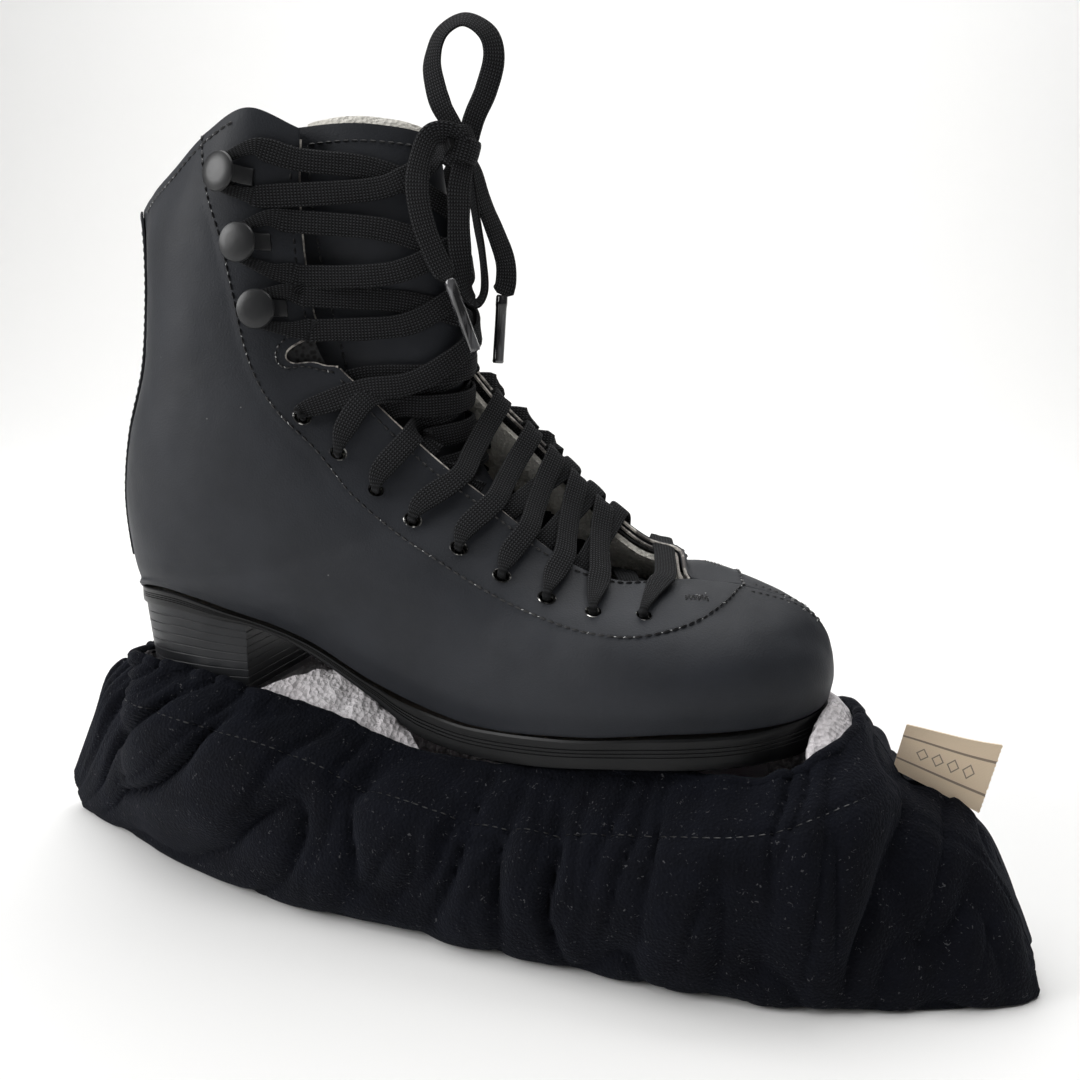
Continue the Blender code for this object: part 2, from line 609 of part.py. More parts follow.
def add_tongue(finish):
    pivot = empty_at("tongue_pivot", TONGUE_PIVOT, FRAME)
    last = len(TONGUE_ROWS) - 1
    rows = np.linspace(0, last, 14)
    columns = np.array((0, 0.5, 1.2, 2.1, 3, 3.9, 4.8, 5.5, 6))
    outer = tongue_layer("tongue", 0, TONGUE_THICK, rows, columns, finish["leather"], FRAME)
    pad = tongue_layer("tongue_padding", TONGUE_PAD_DEPTH, TONGUE_PAD_THICK, rows[1:], columns[1:-1],
                       finish["lining"], FRAME)
    for obj in (outer, pad):
        keep_world(obj, pivot)


# ---------------------------------------------------------------------------------------------
# Lacing

def tongue_net():
    net = np.stack([open_ends(row) for row in TONGUE_ROWS])
    return np.concatenate([[2 * net[0] - net[1]], net, [2 * net[-1] - net[-2]]])


def over_tongue(z, column, lift):
    """A point that lifts off the tongue's face at height z, and the direction up the tongue."""
    net = tongue_net()
    rows = np.linspace(0, len(TONGUE_ROWS) - 1, 37)
    heights = skin(net, rows, [column])[:, 0, 2]
    place, normal, along = skin_point(net, float(np.interp(z, heights, rows)), column)
    if normal[0] < 0:
        normal = -normal
    return place + normal * lift, along


def side_net(side):
    return RIGHT_NET if side < 0 else LEFT_NET


def on_flap(side, row, column, lift):
    """A point that lifts off a flap's face, and the direction down the flap."""
    place, normal, along = skin_point(side_net(side), row, column)
    return place + normal * lift, along


FLAT = (LACE_WIDTH, LACE_THICK)
PINCHED = (LACE_PINCH_WIDTH, LACE_PINCH_THICK)
HALF_FLAT = (5.0, 1.7)
LACE_CLEAR = 0.05
ANKLE_Z = 158
# How far a lace's strands spread above and below a hook (in rows), and how much higher it leaves than arrives
# How many net rows a lace climbs the flap between its eyelet and the flap's edge
LACE_LEAN = 0.9
HOOK_SPREAD = 0.27
LEAVING_RISE = 2.2


def through_eyelet(side, index, upwards):
    row, column = eyelet_places(side)[index]
    steps = [(*on_flap(side, row, column, lift), PINCHED) for lift in (-6.8, -3.2, 0.2, 3.2)]
    return steps if upwards else steps[::-1]


def tongue_samples():
    """Points spread over the tongue's face and their outward normals."""
    grid = skin(tongue_net(), np.linspace(0, len(TONGUE_ROWS) - 1, 55), np.linspace(0, 6, 31))
    normals = grid_normals(grid)
    normals *= np.sign(normals[..., 0].mean())
    return grid.reshape(-1, 3), normals.reshape(-1, 3)


TONGUE_FACE = tongue_samples()


def tongue_way(place):
    """The outward normal of the tongue's face where it is nearest to the place."""
    points, normals = TONGUE_FACE
    return normals[np.argmin(((points - place) ** 2).sum(axis=1))]


def tongue_lift(place, lift):
    """How far the place must move outwards to be lift off the tongue's face; 0 when it is."""
    points, normals = TONGUE_FACE
    nearest = np.argmin(((points - place) ** 2).sum(axis=1))
    offset = place - points[nearest]
    height = offset @ normals[nearest]
    sideways = np.linalg.norm(offset - normals[nearest] * height)
    return max(0.0, lift - height) if sideways < 3 and height > -12 else 0.0


def clear_of_tongue(place, lift):
    """The place itself, or moved off the tongue's face so that it stays at least lift above it."""
    return place + tongue_way(place) * tongue_lift(place, lift)


def between(start, end, shares, lift, rise):
    """Stations on the straight line between two stations, kept off the tongue and raised by rise."""
    stations = []
    for share in shares:
        place = start[0] * (1 - share) + end[0] * share
        hump = math.sin(math.pi * share) * rise
        place = clear_of_tongue(place + np.array((0.45, 0, 0.9)) * hump, lift + max(0, rise) * 1.6)
        stations.append((place, unit(start[1] + end[1]), FLAT))
    return stations


def past_edge(side, row, beyond, lift):
    """A point past a flap's edge: beyond it in the flap's own plane, and lifted off its face."""
    edge, normal, along = skin_point(side_net(side), row, COLUMN_LAST)
    outwards = unit(edge - skin_point(side_net(side), row, COLUMN_LAST - 0.3)[0])
    return edge + outwards * beyond + normal * lift, along


def across_throat(side, row, opposite_row, rise):
    """From over one flap's edge, across the gap, to under the other flap's edge."""
    over = (*on_flap(side, row - 0.5 * LACE_LEAN, 4.6, 3.2), FLAT)
    edge = (*past_edge(side, row - LACE_LEAN, 0.5, 2.8), FLAT)
    rim = (*past_edge(-side, opposite_row - 0.55 * LACE_LEAN, 3.4, -2.4), FLAT)
    under = (*on_flap(-side, opposite_row - 0.3 * LACE_LEAN, 4.6, -6.4), FLAT)
    if edge[0][2] > ANKLE_Z:
        gap = [
            (*over_tongue(edge[0][2] * (1 - share) + rim[0][2] * share, 3 + side * 1.9 * (1 - 2 * share),
                          2.4 + rise), FLAT)
            for share in (0.1, 0.35, 0.6, 0.85)
        ]
    else:
        gap = between(edge, rim, (0.3, 0.6), 1.6, rise)
    rim = (clear_of_tongue(rim[0], 1.6), *rim[1:])
    under = (clear_of_tongue(under[0], 1.6), *under[1:])
    return [over, edge, *gap, rim, under]


def round_hook(side, index):
    """The bight of lace behind a hook's neck, from its upper side to its lower side."""
    row, column = hook_places(side)[index]
    place, normal, along = skin_point(side_net(side), row, column)
    back = np.cross(normal, along)
    if (skin(side_net(side), [row], [column + 0.2])[0, 0] - place) @ back > 0:
        back = -back
    steps = []
    for turn in (75, 35, 0, -35, -75):
        radial = back * math.cos(math.radians(turn)) - along * math.sin(math.radians(turn))
        spot = place + normal * (HOOK_STAND / 2 + 0.1) + radial * (HOOK_NECK_R + 2.2)
        steps.append((spot, radial, PINCHED))
    return steps


def off_flap(side, row, column):
    """From beside a hook or an eyelet at this column, over the flap and past its edge."""
    steps = [(*on_flap(side, row, min(column + 0.42, 4.62), 2.5), HALF_FLAT)]
    steps.append((*on_flap(side, row, min(column + 0.72, 4.85), 2.5), FLAT))
    steps.append((*past_edge(side, row, 0.5, 2.8), FLAT))
    return steps


def between_hooks(start, end, lift):
    """From (side, row, column) over one flap's edge, over the tongue, and over the other flap's edge."""
    side = start[0]
    leaving, arriving = off_flap(*start), off_flap(*end)[::-1]
    low, high = leaving[-1][0][2], arriving[0][0][2]
    middle = [
        (*over_tongue(low + (high - low) * share, 3 + side * 1.9 * (1 - 2 * share),
                      3.6 + lift + LEAVING_RISE * (0.5 - share)), FLAT)
        for share in (0.06, 0.28, 0.5, 0.72, 0.94)
    ]
    return leaving + middle + arriving


def lace_path(start_side, lift, bar):
    """One half of the lace from its lowest eyelet to the knot, as runs of stations that meet at the hooks."""
    side, steps, runs = start_side, [], []
    rows = {s: [row for row, _ in eyelet_places(s)] for s in (-1, 1)}
    if bar:
        steps += through_eyelet(-side, 0, True)
        for s, column in ((-side, 4.55), (-side, 5), (side, 4.75), (side, 4.45)):
            steps.append((*on_flap(s, rows[s][0], column, 3.2), FLAT))
    steps += through_eyelet(side, 0, False)
    for index in range(1, EYELET_COUNT):
        rising = through_eyelet(-side, index, True)
        if index > 1:
            steps += across_throat(side, rows[side][index - 1], rows[-side][index], abs(lift) * side)
        else:
            steps += between(steps[-1], rising[0], (0.25, 0.5, 0.75), 1.6, lift)
        steps += rising
        side = -side
    here = (side, rows[side][-1] - 0.1, 3.9)
    for index in range(HOOK_COUNT):
        row, column = hook_places(-side)[index]
        steps += between_hooks(here, (-side, row - HOOK_SPREAD, column), lift)
        side = -side
        bight = round_hook(side, index)
        runs.append(steps + bight[:3])
        steps = bight[2:]
        here = (side, row + HOOK_SPREAD, column)
    steps += off_flap(*here)[:2]
    for share, height in ((0.9, 247), (0.6, 251), (0.3, 257)):
        steps.append((*over_tongue(height, 3 + side * 2 * share, 4.4 + lift), FLAT))
    steps.append((np.array(KNOT) + (1.5, side * (KNOT_SIZE[1] + 2.8), -2), (0, 0, 1), PINCHED))
    runs.append(steps)
    return runs


def ribbon(name, steps, per_step, finish):
    """A flat cord through stations, each a place, its width's direction, and (width, thickness)."""
    widths = [np.asarray(steps[0][1], float)]
    for _, direction, _ in steps[1:]:
        direction = np.asarray(direction, float)
        widths.append(direction if direction @ widths[-1] >= 0 else -direction)
    t = np.linspace(0, len(steps) - 1, int((len(steps) - 1) * per_step) + 1)
    line, turned, size = (catmull(open_ends(v), t) for v in ([p for p, _, _ in steps], widths,
        [w for _, _, w in steps]))
    lifts = [
        max(tongue_lift(place + unit(across) * width * share, 1.3) for share in (-0.45, 0, 0.45))
        for place, across, (width, _) in zip(line, turned, size)
    ]
    padded = np.pad(lifts, 1, mode="edge")
    lifts = np.maximum(lifts, (padded[:-2] + padded[2:]) / 2)
    line = np.array([place + tongue_way(place) * lift for place, lift in zip(line, lifts)])
    sections = []
    for place, along, across, (width, thick) in zip(line, np.gradient(line, axis=0), turned, size):
        across = unit(across - unit(along) * (across @ unit(along)))
        out = np.cross(unit(along), across)
        width, thick = max(width, LACE_PINCH_WIDTH) / 2, max(thick, LACE_THICK) / 2
        corners = ((-1, 1), (1, 1), (1, -1), (-1, -1))
        sections.append([place + across * width * a + out * thick * b for a, b in corners])
    return loft_object(name, sections, finish)


def triangle_mesh(obj, grow=0.0):
    """The object's evaluated mesh as triangles only, each point moved outwards by grow."""
    graph = bpy.context.evaluated_depsgraph_get()
    mesh = bpy.data.meshes.new_from_object(obj.evaluated_get(graph), depsgraph=graph)
    mesh.calc_loop_triangles()
    points = [vert.co + vert.normal * grow * MM for vert in mesh.vertices]
    faces = [tuple(face.vertices) for face in mesh.loop_triangles]
    triangles = bpy.data.meshes.new(f"{obj.name}_triangles")
    triangles.from_pydata(points, [], faces)
    return triangles


def largest_piece(obj, name):
    """The object's evaluated mesh with every loose sliver but the largest piece left out."""
    graph = bpy.context.evaluated_depsgraph_get()
    mesh = bpy.data.meshes.new_from_object(obj.evaluated_get(graph), depsgraph=graph)
    work = bmesh.new()
    work.from_mesh(mesh)
    bmesh.ops.remove_doubles(work, verts=work.verts, dist=0.000004)
    bmesh.ops.dissolve_degenerate(work, edges=work.edges, dist=0.000004)
    left, pieces = set(work.faces), []
    while left:
        piece, front = set(), [left.pop()]
        while front:
            face = front.pop()
            piece.add(face)
            for edge in face.edges:
                for other in edge.link_faces:
                    if len(edge.link_faces) == 2 and other in left:
                        left.discard(other)
                        front.append(other)
        pieces.append(piece)
    keep = max(pieces, key=len)
    bmesh.ops.delete(work, geom=[face for face in work.faces if face not in keep], context="FACES")
    mesh.clear_geometry()
    work.to_mesh(mesh)
    work.free()
    mesh.name = name
    return mesh


def add_lacing(finish):
    """Both halves of the lace as one piece, trimmed to lie against what it passes over."""
    runs = [run for start, lift in ((-1, 1.3), (1, -1.3)) for run in lace_path(start, lift, start > 0)]
    halves = []
    for index, run in enumerate(runs):
        run = ribbon(f"lace_run_{index}", run, 0.9, finish["lace"])
        mesh = triangle_mesh(run)
        bpy.data.objects.remove(run)
        halves.append(cutter(f"lace_run_{index}", mesh))
    for other in halves[1:]:
        boolean(halves[0], other, "UNION")
    names = ["tongue", "tongue_padding", "upper_left", "upper_right", "facing_left", "facing_right"]
    names += ["lining_left", "lining_right"]
    names += [f"hook_{side}_{index}" for side in ("left", "right") for index in range(1, HOOK_COUNT + 1)]
    for name in names:
        relief = triangle_mesh(bpy.data.objects[name], LACE_CLEAR)
        boolean(halves[0], cutter(f"{name}_relief", relief), "DIFFERENCE")
    for cut in halves[0].modifiers:
        cut.solver = "MANIFOLD"
    bpy.context.view_layer.update()
    lacing = add_object("lacing", largest_piece(halves[0], "lacing"), finish["lace"])
    halves[0].modifiers.clear()
    return lacing


def add_knot_and_bow(finish):
    shape = bmesh.new()
    bmesh.ops.create_uvsphere(shape, u_segments=10, v_segments=7, radius=1.0)
    bmesh.ops.scale(shape, vec=Vector(KNOT_SIZE) * MM, verts=shape.verts)
    bmesh.ops.translate(shape, vec=Vector(KNOT) * MM, verts=shape.verts)
    mesh = bpy.data.meshes.new("bow_knot")
    shape.to_mesh(mesh)
    shape.free()
    tidy_mesh(mesh)
    add_object("bow_knot", mesh, finish["lace"])
    for name, route in BOW_ROUTES.items():
        line = curve_through(route, 3 * len(route) - 2)
        tube_curve(name, line, LACE_PINCH_WIDTH / 2, finish["lace"])
    for name, (start, end) in AGLETS.items():
        along = np.subtract(end, start)
        mesh = cylinder_mesh(name, AGLET_R, 0, float(np.linalg.norm(along)), start, along, 8)
        add_object(name, mesh, finish["aglet"])


# ---------------------------------------------------------------------------------------------
# Sole, heel and insole

def sole_top(x):
    return level(SOLE_TOP, x) - SOLE_TOP_GAP


def sole_bottom(x):
    return level(SOLE_BOTTOM, x)


def heel_bottom(x):
    return np.interp(x, (5, HEEL_BREAST_X), (HEEL_BOTTOM_BACK_Z, HEEL_BOTTOM_BREAST_Z))


def outline_points(count, inset=0.0, low=None, high=None):
    """The sole's outline (x, half width), drawn in by inset and cut to low <= x <= high."""
    line = curve_through(SOLE_OUTLINE, count)
    middle = (line[0, 0] + line[-1, 0]) / 2
    length = line[-1, 0] - line[0, 0]
    line[:, 0] = middle + (line[:, 0] - middle) * (1 - 2 * inset / length)
    line[:, 1] = np.maximum(line[:, 1] - inset, 0)
    if low is not None:
        inside = (line[:, 0] > low + 0.5) & (line[:, 0] < high - 0.5)
        ends = [[e, np.interp(e, line[:, 0], line[:, 1])] for e in (low, high)]
        line = np.concatenate([ends[:1], line[inside], ends[1:]])
    return line


def add_sole(finish):
    line = outline_points(36)
    x, half = line[:, 0], line[:, 1]
    top, bottom = sole_top(x), sole_bottom(x)
    sections = []
    for xi, w, t, b in zip(x, half, top, bottom):
        w = max(w, 0.4)
        mid = t - 0.35 * (t - b)
        sections.append([(xi, -w + 0.6, b), (xi, w - 0.6, b), (xi, w, b + 0.8), (xi, w + 0.2, mid),
                         (xi, w - 0.4, t),
                         (xi, -w + 0.4, t), (xi, -w - 0.2, mid), (xi, -w, b + 0.8)])
    sole = loft_object("outsole", sections, finish["rubber"])
    holes = [cylinder_mesh("hole", SCREW_R + GAP, -3, 7.5, (x, y, sole_bottom(x)[0]), (0, 0, 1), 8) for x,
             y in SOLE_SCREWS]
    boolean(sole, cutter("sole_screw_holes", joined_mesh("sole_screw_holes", holes)), "DIFFERENCE")

    line = outline_points(26, 0.8, 3.0, HEEL_BREAST_X)
    sections = []
    for xi, w in line:
        w = max(w, 3.0)
        low, high = float(heel_bottom(xi)), float(sole_bottom(xi)[0]) - 2 * GAP
        lean = 4.5 * (1 - (xi - 3.0) / (HEEL_BREAST_X - 3.0))
        sections.append([(xi + lean, -w * 0.95, low), (xi + lean, w * 0.95, low), (xi, w, high),
                         (xi, -w, high)])
    heel = loft_object("heel_block", sections, finish["rubber"])
    holes = [cylinder_mesh("hole", SCREW_R + GAP, -3, 10, (x, y, float(heel_bottom(x))), (0, 0, 1),
                           8) for x, y in HEEL_SCREWS]
    boolean(heel, cutter("heel_screw_holes", joined_mesh("heel_screw_holes", holes)), "DIFFERENCE")


def add_insoles(finish):
    board = outline_points(16, 9.0, 10, 250)
    plate_object("insole_board", board, lambda x: sole_top(x) + 1.0, lambda x: sole_top(x) + 3.2,
                 finish["board"])
    bed = outline_points(16, 10.5, 12, 248)
    plate_object("footbed", bed, lambda x: sole_top(x) + 3.8, lambda x: sole_top(x) + 7.2, finish["lining"])


# ---------------------------------------------------------------------------------------------
# Blade

def flat_part(name, outlines, thick, finish):
    """A plate standing in the XZ plane, cut from closed outlines of (x, z); inner ones are holes."""
    curve = bpy.data.curves.new(name, "CURVE")
    curve.dimensions = "2D"
    curve.fill_mode = "BOTH"
    curve.extrude = thick / 2 * MM
    for outline in outlines:
        spline = curve.splines.new("POLY")
        spline.points.add(len(outline) - 1)
        for point, (x, z) in zip(spline.points, outline):
            point.co = (x * MM, z * MM, 0, 1)
        spline.use_cyclic_u = True
    flat = bpy.data.objects.new(name, curve)
    PARTS.objects.link(flat)
    mesh = bpy.data.meshes.new_from_object(flat.evaluated_get(bpy.context.evaluated_depsgraph_get()))
    bpy.data.objects.remove(flat)
    mesh.transform(Matrix.Rotation(math.pi / 2, 4, "X"))
    tidy_mesh(mesh)
    return add_object(name, mesh, finish)


def rocker(x):
    return RUNNER_LOW_Z + (x - ROCKER_MID_X) ** 2 / (2 * ROCKER_RADIUS)


def add_blade(finish):
    low = [(x, rocker(x)) for x in np.linspace(4, 236, 15)]
    teeth = [(240, 14.5), (243.5, 12.6), (246, 17), (250, 15.6), (252, 20.5), (256, 19.5), (257.5, 25),
             (261, 25.5), (261.5, 31)]
    back = [(256, 33), (247, 31), (238, 27), (200, 23.5), (120, 22.5), (60, 22.8), (12, 25), (3, 20)]
    flat_part("blade_runner", [low + teeth + back], RUNNER_THICK, finish["steel"])

    sole_line = outline_points(26, 7.0, 140, 242)
    plate = plate_object("sole_plate", sole_line, lambda x: sole_bottom(x) - GAP - PLATE_THICK,
                         lambda x: sole_bottom(x) - GAP, finish["steel"])
    legs = flat_part("front_stanchion", [[(146, 59), (143, 44), (150, 30), (158, 23.7), (200, 24.1),
                                          (237.6, 27.5), (246, 31.2),
                                          (247, 40), (240, 66.8), (214, 65.2), (208, 48), (196, 38), (180,
                                              40), (171, 52), (168, 60)]],
                     STANCHION_THICK, finish["steel"])
    join_parts(plate, legs, "UNION")
    drill(plate, SOLE_SCREWS, lambda x: float(sole_bottom(x)[0]), "sole_plate_holes")

    heel_line = outline_points(14, 6.5, 5, HEEL_BREAST_X - 1)
    plate = plate_object("heel_plate", heel_line, lambda x: heel_bottom(x) - GAP - PLATE_THICK,
                         lambda x: heel_bottom(x) - GAP, finish["steel"])
    legs = flat_part("heel_stanchion", [[(10, 66), (12, 46), (20, 34), (16, 25.3), (60, 23.3), (54, 36),
                                         (49, 50), (50, 68.8),
                                         (34, 67.8), (34, 48), (28, 48), (26,
                                             67)]], STANCHION_THICK, finish["steel"])
    join_parts(plate, legs, "UNION")
    drill(plate, HEEL_SCREWS, lambda x: float(heel_bottom(x)), "heel_plate_holes")

    for group, screws, under in (("sole", SOLE_SCREWS, lambda x: float(sole_bottom(x)[0])),
                                 ("heel", HEEL_SCREWS, lambda x: float(heel_bottom(x)))):
        for index, (x, y) in enumerate(screws, 1):
            place = (x, y, under(x) - GAP - PLATE_THICK)
            head = cylinder_mesh(f"{group}_screw_{index}", SCREW_HEAD_R, -HEAD_CLEAR - SCREW_HEAD_THICK,
                                 -HEAD_CLEAR, place,
                                 (0, 0, 1), 8, SCREW_HEAD_R)
            shank = cylinder_mesh("shank", SCREW_R, -HEAD_CLEAR - 0.4, PLATE_THICK + 6.5, place, (0, 0, 1),
                                  6)
            screw = add_object(f"{group}_screw_{index}", head, finish["steel"])
            boolean(screw, cutter(f"{group}_shank_{index}", shank), "UNION")


def join_parts(obj, other, operation):
    """Joins a finished part into another one and keeps it as a hidden cutter."""
    PARTS.objects.unlink(other)
    CUTTERS.objects.link(other)
    other.hide_render = True
    other.display_type = "WIRE"
    boolean(obj, other, operation)


def drill(obj, places, under, name):
    holes = [cylinder_mesh("hole", SCREW_R + GAP, -8, 3, (x, y, under(x)), (0, 0, 1), 8) for x, y in places]
    boolean(obj, cutter(name, joined_mesh(name, holes)), "DIFFERENCE")


# ---------------------------------------------------------------------------------------------
# Blade cover

def cover_net():
    """Six points from the top edge, over the shoulder and the belly, to the middle of the foot."""
    rows = []
    for (tx, ty, tz), fx, belly in COVER_SECTIONS:
        top = np.array((tx, ty, tz), float)
        wide = np.array((0.35 * tx + 0.65 * fx, -belly, 0.32 * tz + 3))
        shoulder = top * 0.45 + wide * 0.55 + np.array((0, -0.12 * belly, 0.14 * tz))
        rows.append([top, shoulder, wide, (0.1 * tx + 0.9 * fx, -0.86 * belly, 0.0),
                     (fx, -0.45 * belly, 0.0), (fx, 0, 0.0)])
    rows = np.array(rows, float)
    full = np.stack([open_ends(row) for row in rows])
    full[:, -1] = full[:, -3] * (1, -1, 1)
    return np.concatenate([[2 * full[0] - full[1]], full, [2 * full[-1] - full[-2]]])


def cover_grid(rows, columns, depth):
    grid = skin(cover_net(), rows, columns)
    normal = grid_normals(grid)
    normal *= np.sign((normal * (grid - (144, 0, 40)))[..., 1].mean())
    moved = grid - normal * depth
    moved[..., 2] = np.maximum(moved[..., 2], depth)
    moved[:, :-1, 1] = np.minimum(moved[:, :-1, 1], -SEAM_GAP)
    moved[:, -1, 1] = 0
    return moved


def leaned(points):
    """The cover's points with its belly leaning towards the right at the toe end."""
    points = points.copy()
    share = np.clip(1 - points[..., 2] / COVER_LEAN_TOP, 0, 1)
    points[..., 1] -= COVER_LEAN * (points[..., 0] - COVER_LEAN_FROM) * share
    return points


def cover_shell(name, depth, thick, rows, columns, finish):
    """A layer of the cover: both sides, joined under the foot and along the closed ends."""
    near_out, near_in = (cover_grid(rows, columns, d) for d in (depth, depth + thick))
    both = [leaned(np.concatenate([g, (g * (1, -1, 1))[:, -2::-1]], axis=1)) for g in (near_out, near_in)]
    return slab(name, *both, finish)


def add_cover(finish):
    rows = np.linspace(0, len(COVER_SECTIONS) - 1, COVER_ROWS)
    columns = np.linspace(0, 5, 7)
    cover_shell("cover_shell", 0, COVER_THICK, rows, columns, finish["fleece"])
    cover_shell("cover_lining", COVER_LINING_DEPTH, COVER_LINING_THICK, rows[3:-4], columns,
                finish["terry"])


def add_elastic(finish):
    """The rolled hem with its elastic, all round the opening."""
    rows = np.linspace(COVER_OPEN_FIRST + 0.15, COVER_OPEN_LAST - 0.15, 18)
    near = cover_grid(rows, [0, 0.2], (COVER_THICK + COVER_LINING_DEPTH) / 2)[:, 0]
    near = near + (0, 0, ELASTIC_R + 2.3)
    loop = leaned(np.concatenate([near, (near * (1, -1, 1))[::-1]]))
    tube_curve("hem_elastic", loop, ELASTIC_R, finish["fleece"], closed=True)


def add_tag(finish):
    pivot = empty_at("tag_pivot", leaned(np.array(TAG_EDGE[0], float)), FRAME)
    sections = []
    for share in np.linspace(0, 1, 6):
        foot, head = (np.array(a, float) * (1 - share) + np.array(b, float) * share for a,
                      b in (TAG_EDGE, TAG_TOP))
        half = np.array((0, TAG_THICK / 2, 0))
        sections.append(leaned(np.array([foot - half, foot + half, head + half, head - half])))
    keep_world(loft_object("sewn_tag", sections, finish["tag"]), pivot)


TONGUE_PIVOT = (222, 0, 108)

PARTS = None
CUTTERS = None
FRAME = None


def main():
    global PARTS, CUTTERS, FRAME
    clear_scene()
    PARTS = new_collection("figure_skate")
    CUTTERS = new_collection("cutters")
    CUTTERS.hide_render = True
    FRAME = bpy.data.objects.new("skate_frame", None)
    PARTS.objects.link(FRAME)
    FRAME.location = (-FRAME_CENTRE_X * MM, -FRAME_CENTRE_Y * MM, 0)
    finish = {
        "leather": material("black_leather", (0.018, 0.018, 0.02), 0.75),
        "lining": material("cream_lining", (0.80, 0.76, 0.66), 0.95),
        "board": material("fibre_board", (0.45, 0.33, 0.20), 0.85),
        "hook": material("black_hook", (0.02, 0.02, 0.022), 0.35, 0.6),
        "rubber": material("black_sole", (0.015, 0.015, 0.016), 0.45),
        "steel": material("blade_steel", (0.72, 0.73, 0.75), 0.22, 1.0),
        "fleece": material("cover_fleece", (0.012, 0.014, 0.022), 0.95),
        "terry": material("cover_terry", (0.52, 0.50, 0.50), 0.95),
        "lace": material("black_lace", (0.02, 0.02, 0.022), 0.9),
        "aglet": material("smoked_aglet", (0.10, 0.10, 0.11), 0.2),
        "tag": material("woven_tag", (0.60, 0.50, 0.36), 0.9),
    }
    add_upper(finish)
    add_lining(finish)
    add_stiffeners(finish)
    add_facings(finish)
    add_hooks(finish)
    add_back_stay(finish)
    add_tongue(finish)
    add_sole(finish)
    add_insoles(finish)
    add_blade(finish)
    add_lacing(finish)
    add_knot_and_bow(finish)
    add_cover(finish)
    add_elastic(finish)
    add_tag(finish)


main()
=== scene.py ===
"""The looks of a black figure skate in its fleece blade cover: leather, stitching, laces, lining and cover.

Shapes are in millimetres from the back of the heel on the floor; world() turns them into the frame's metres.
"""

import math

import bmesh
import bpy
import numpy as np
from mathutils import Matrix, Vector, noise

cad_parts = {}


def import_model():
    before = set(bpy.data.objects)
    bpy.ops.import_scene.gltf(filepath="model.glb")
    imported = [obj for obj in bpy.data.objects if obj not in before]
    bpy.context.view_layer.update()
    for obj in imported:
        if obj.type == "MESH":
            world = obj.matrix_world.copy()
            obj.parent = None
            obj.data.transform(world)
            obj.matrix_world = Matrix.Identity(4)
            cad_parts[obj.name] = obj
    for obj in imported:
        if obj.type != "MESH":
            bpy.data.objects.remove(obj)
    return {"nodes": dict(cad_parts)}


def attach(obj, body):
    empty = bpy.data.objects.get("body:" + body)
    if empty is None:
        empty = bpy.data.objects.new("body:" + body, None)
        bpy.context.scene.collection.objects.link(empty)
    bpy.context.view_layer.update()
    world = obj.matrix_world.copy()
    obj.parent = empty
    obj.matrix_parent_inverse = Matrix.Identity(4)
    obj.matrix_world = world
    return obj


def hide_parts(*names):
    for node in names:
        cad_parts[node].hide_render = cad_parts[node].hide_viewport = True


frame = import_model()

MM = 0.001
FRAME_CENTRE_X, FRAME_CENTRE_Y = 144.2, -3.7
# Upper: thickness of each layer and the depth below the outer face where it starts
UPPER_THICK = 2.0
STIFFENER_DEPTH, STIFFENER_THICK = 2.7, 1.1
LINING_DEPTH, LINING_THICK = 5.0, 2.6
SEAM_GAP = 0.2
# Each eyelet's place on the upper as (row, column), from the toe end up
RIGHT_EYELETS = ((14.25, 3.7), (13.3, 3.9), (12.3, 4.1), (11.2, 4.25), (9.95, 4.35), (8.25, 4.4),
                 (6.5, 4.45), (5.15, 4.4), (4.15, 4.3))
LEFT_EYELETS = ((13.4, 3.9), (12.65, 4.0), (11.75, 4.1), (10.7, 4.2), (9.4, 4.3), (7.7, 4.35),
                (6.0, 4.4), (4.7, 4.35), (3.75, 4.3))
EYELET_COUNT = len(RIGHT_EYELETS)
# The notch in each flap's edge at the ankle, as (row, column); past the last column it leaves the flap
ANKLE_NOTCH = ((2.5, 6.0), (2.55, 5.0), (2.68, 4.75), (2.84, 4.5), (3.0, 4.42), (3.12, 4.5),
               (3.14, 4.75), (3.3, 5.0), (3.5, 6.0))
NOTCH_REACH = 6.0
EYELET_HOLE_R = 2.4
HOOK_COUNT = 3
RIGHT_HOOKS = ((2.27, 4.15), (1.51, 4.0), (0.73, 3.75))
LEFT_HOOKS = ((2.2, 4.0), (1.4, 3.95), (0.6, 3.85))
HOOK_DISC_R, HOOK_DISC_THICK = 6.6, 1.6
HOOK_NECK_R, HOOK_STAND = 2.2, 5.2
# Lace: flat woven, pinched round where it goes through an eyelet or a hook
LACE_WIDTH, LACE_THICK = 7.6, 1.5
LACE_PINCH_WIDTH, LACE_PINCH_THICK = 2.8, 2.0
# Sole and heel
SOLE_TOP_GAP = 0.8
HEEL_BREAST_X = 58.0
HEEL_BOTTOM_BACK_Z, HEEL_BOTTOM_BREAST_Z = 67.5, 71.0
# Blade cover
COVER_THICK, COVER_LINING_DEPTH, COVER_LINING_THICK = 2.0, 2.4, 3.2
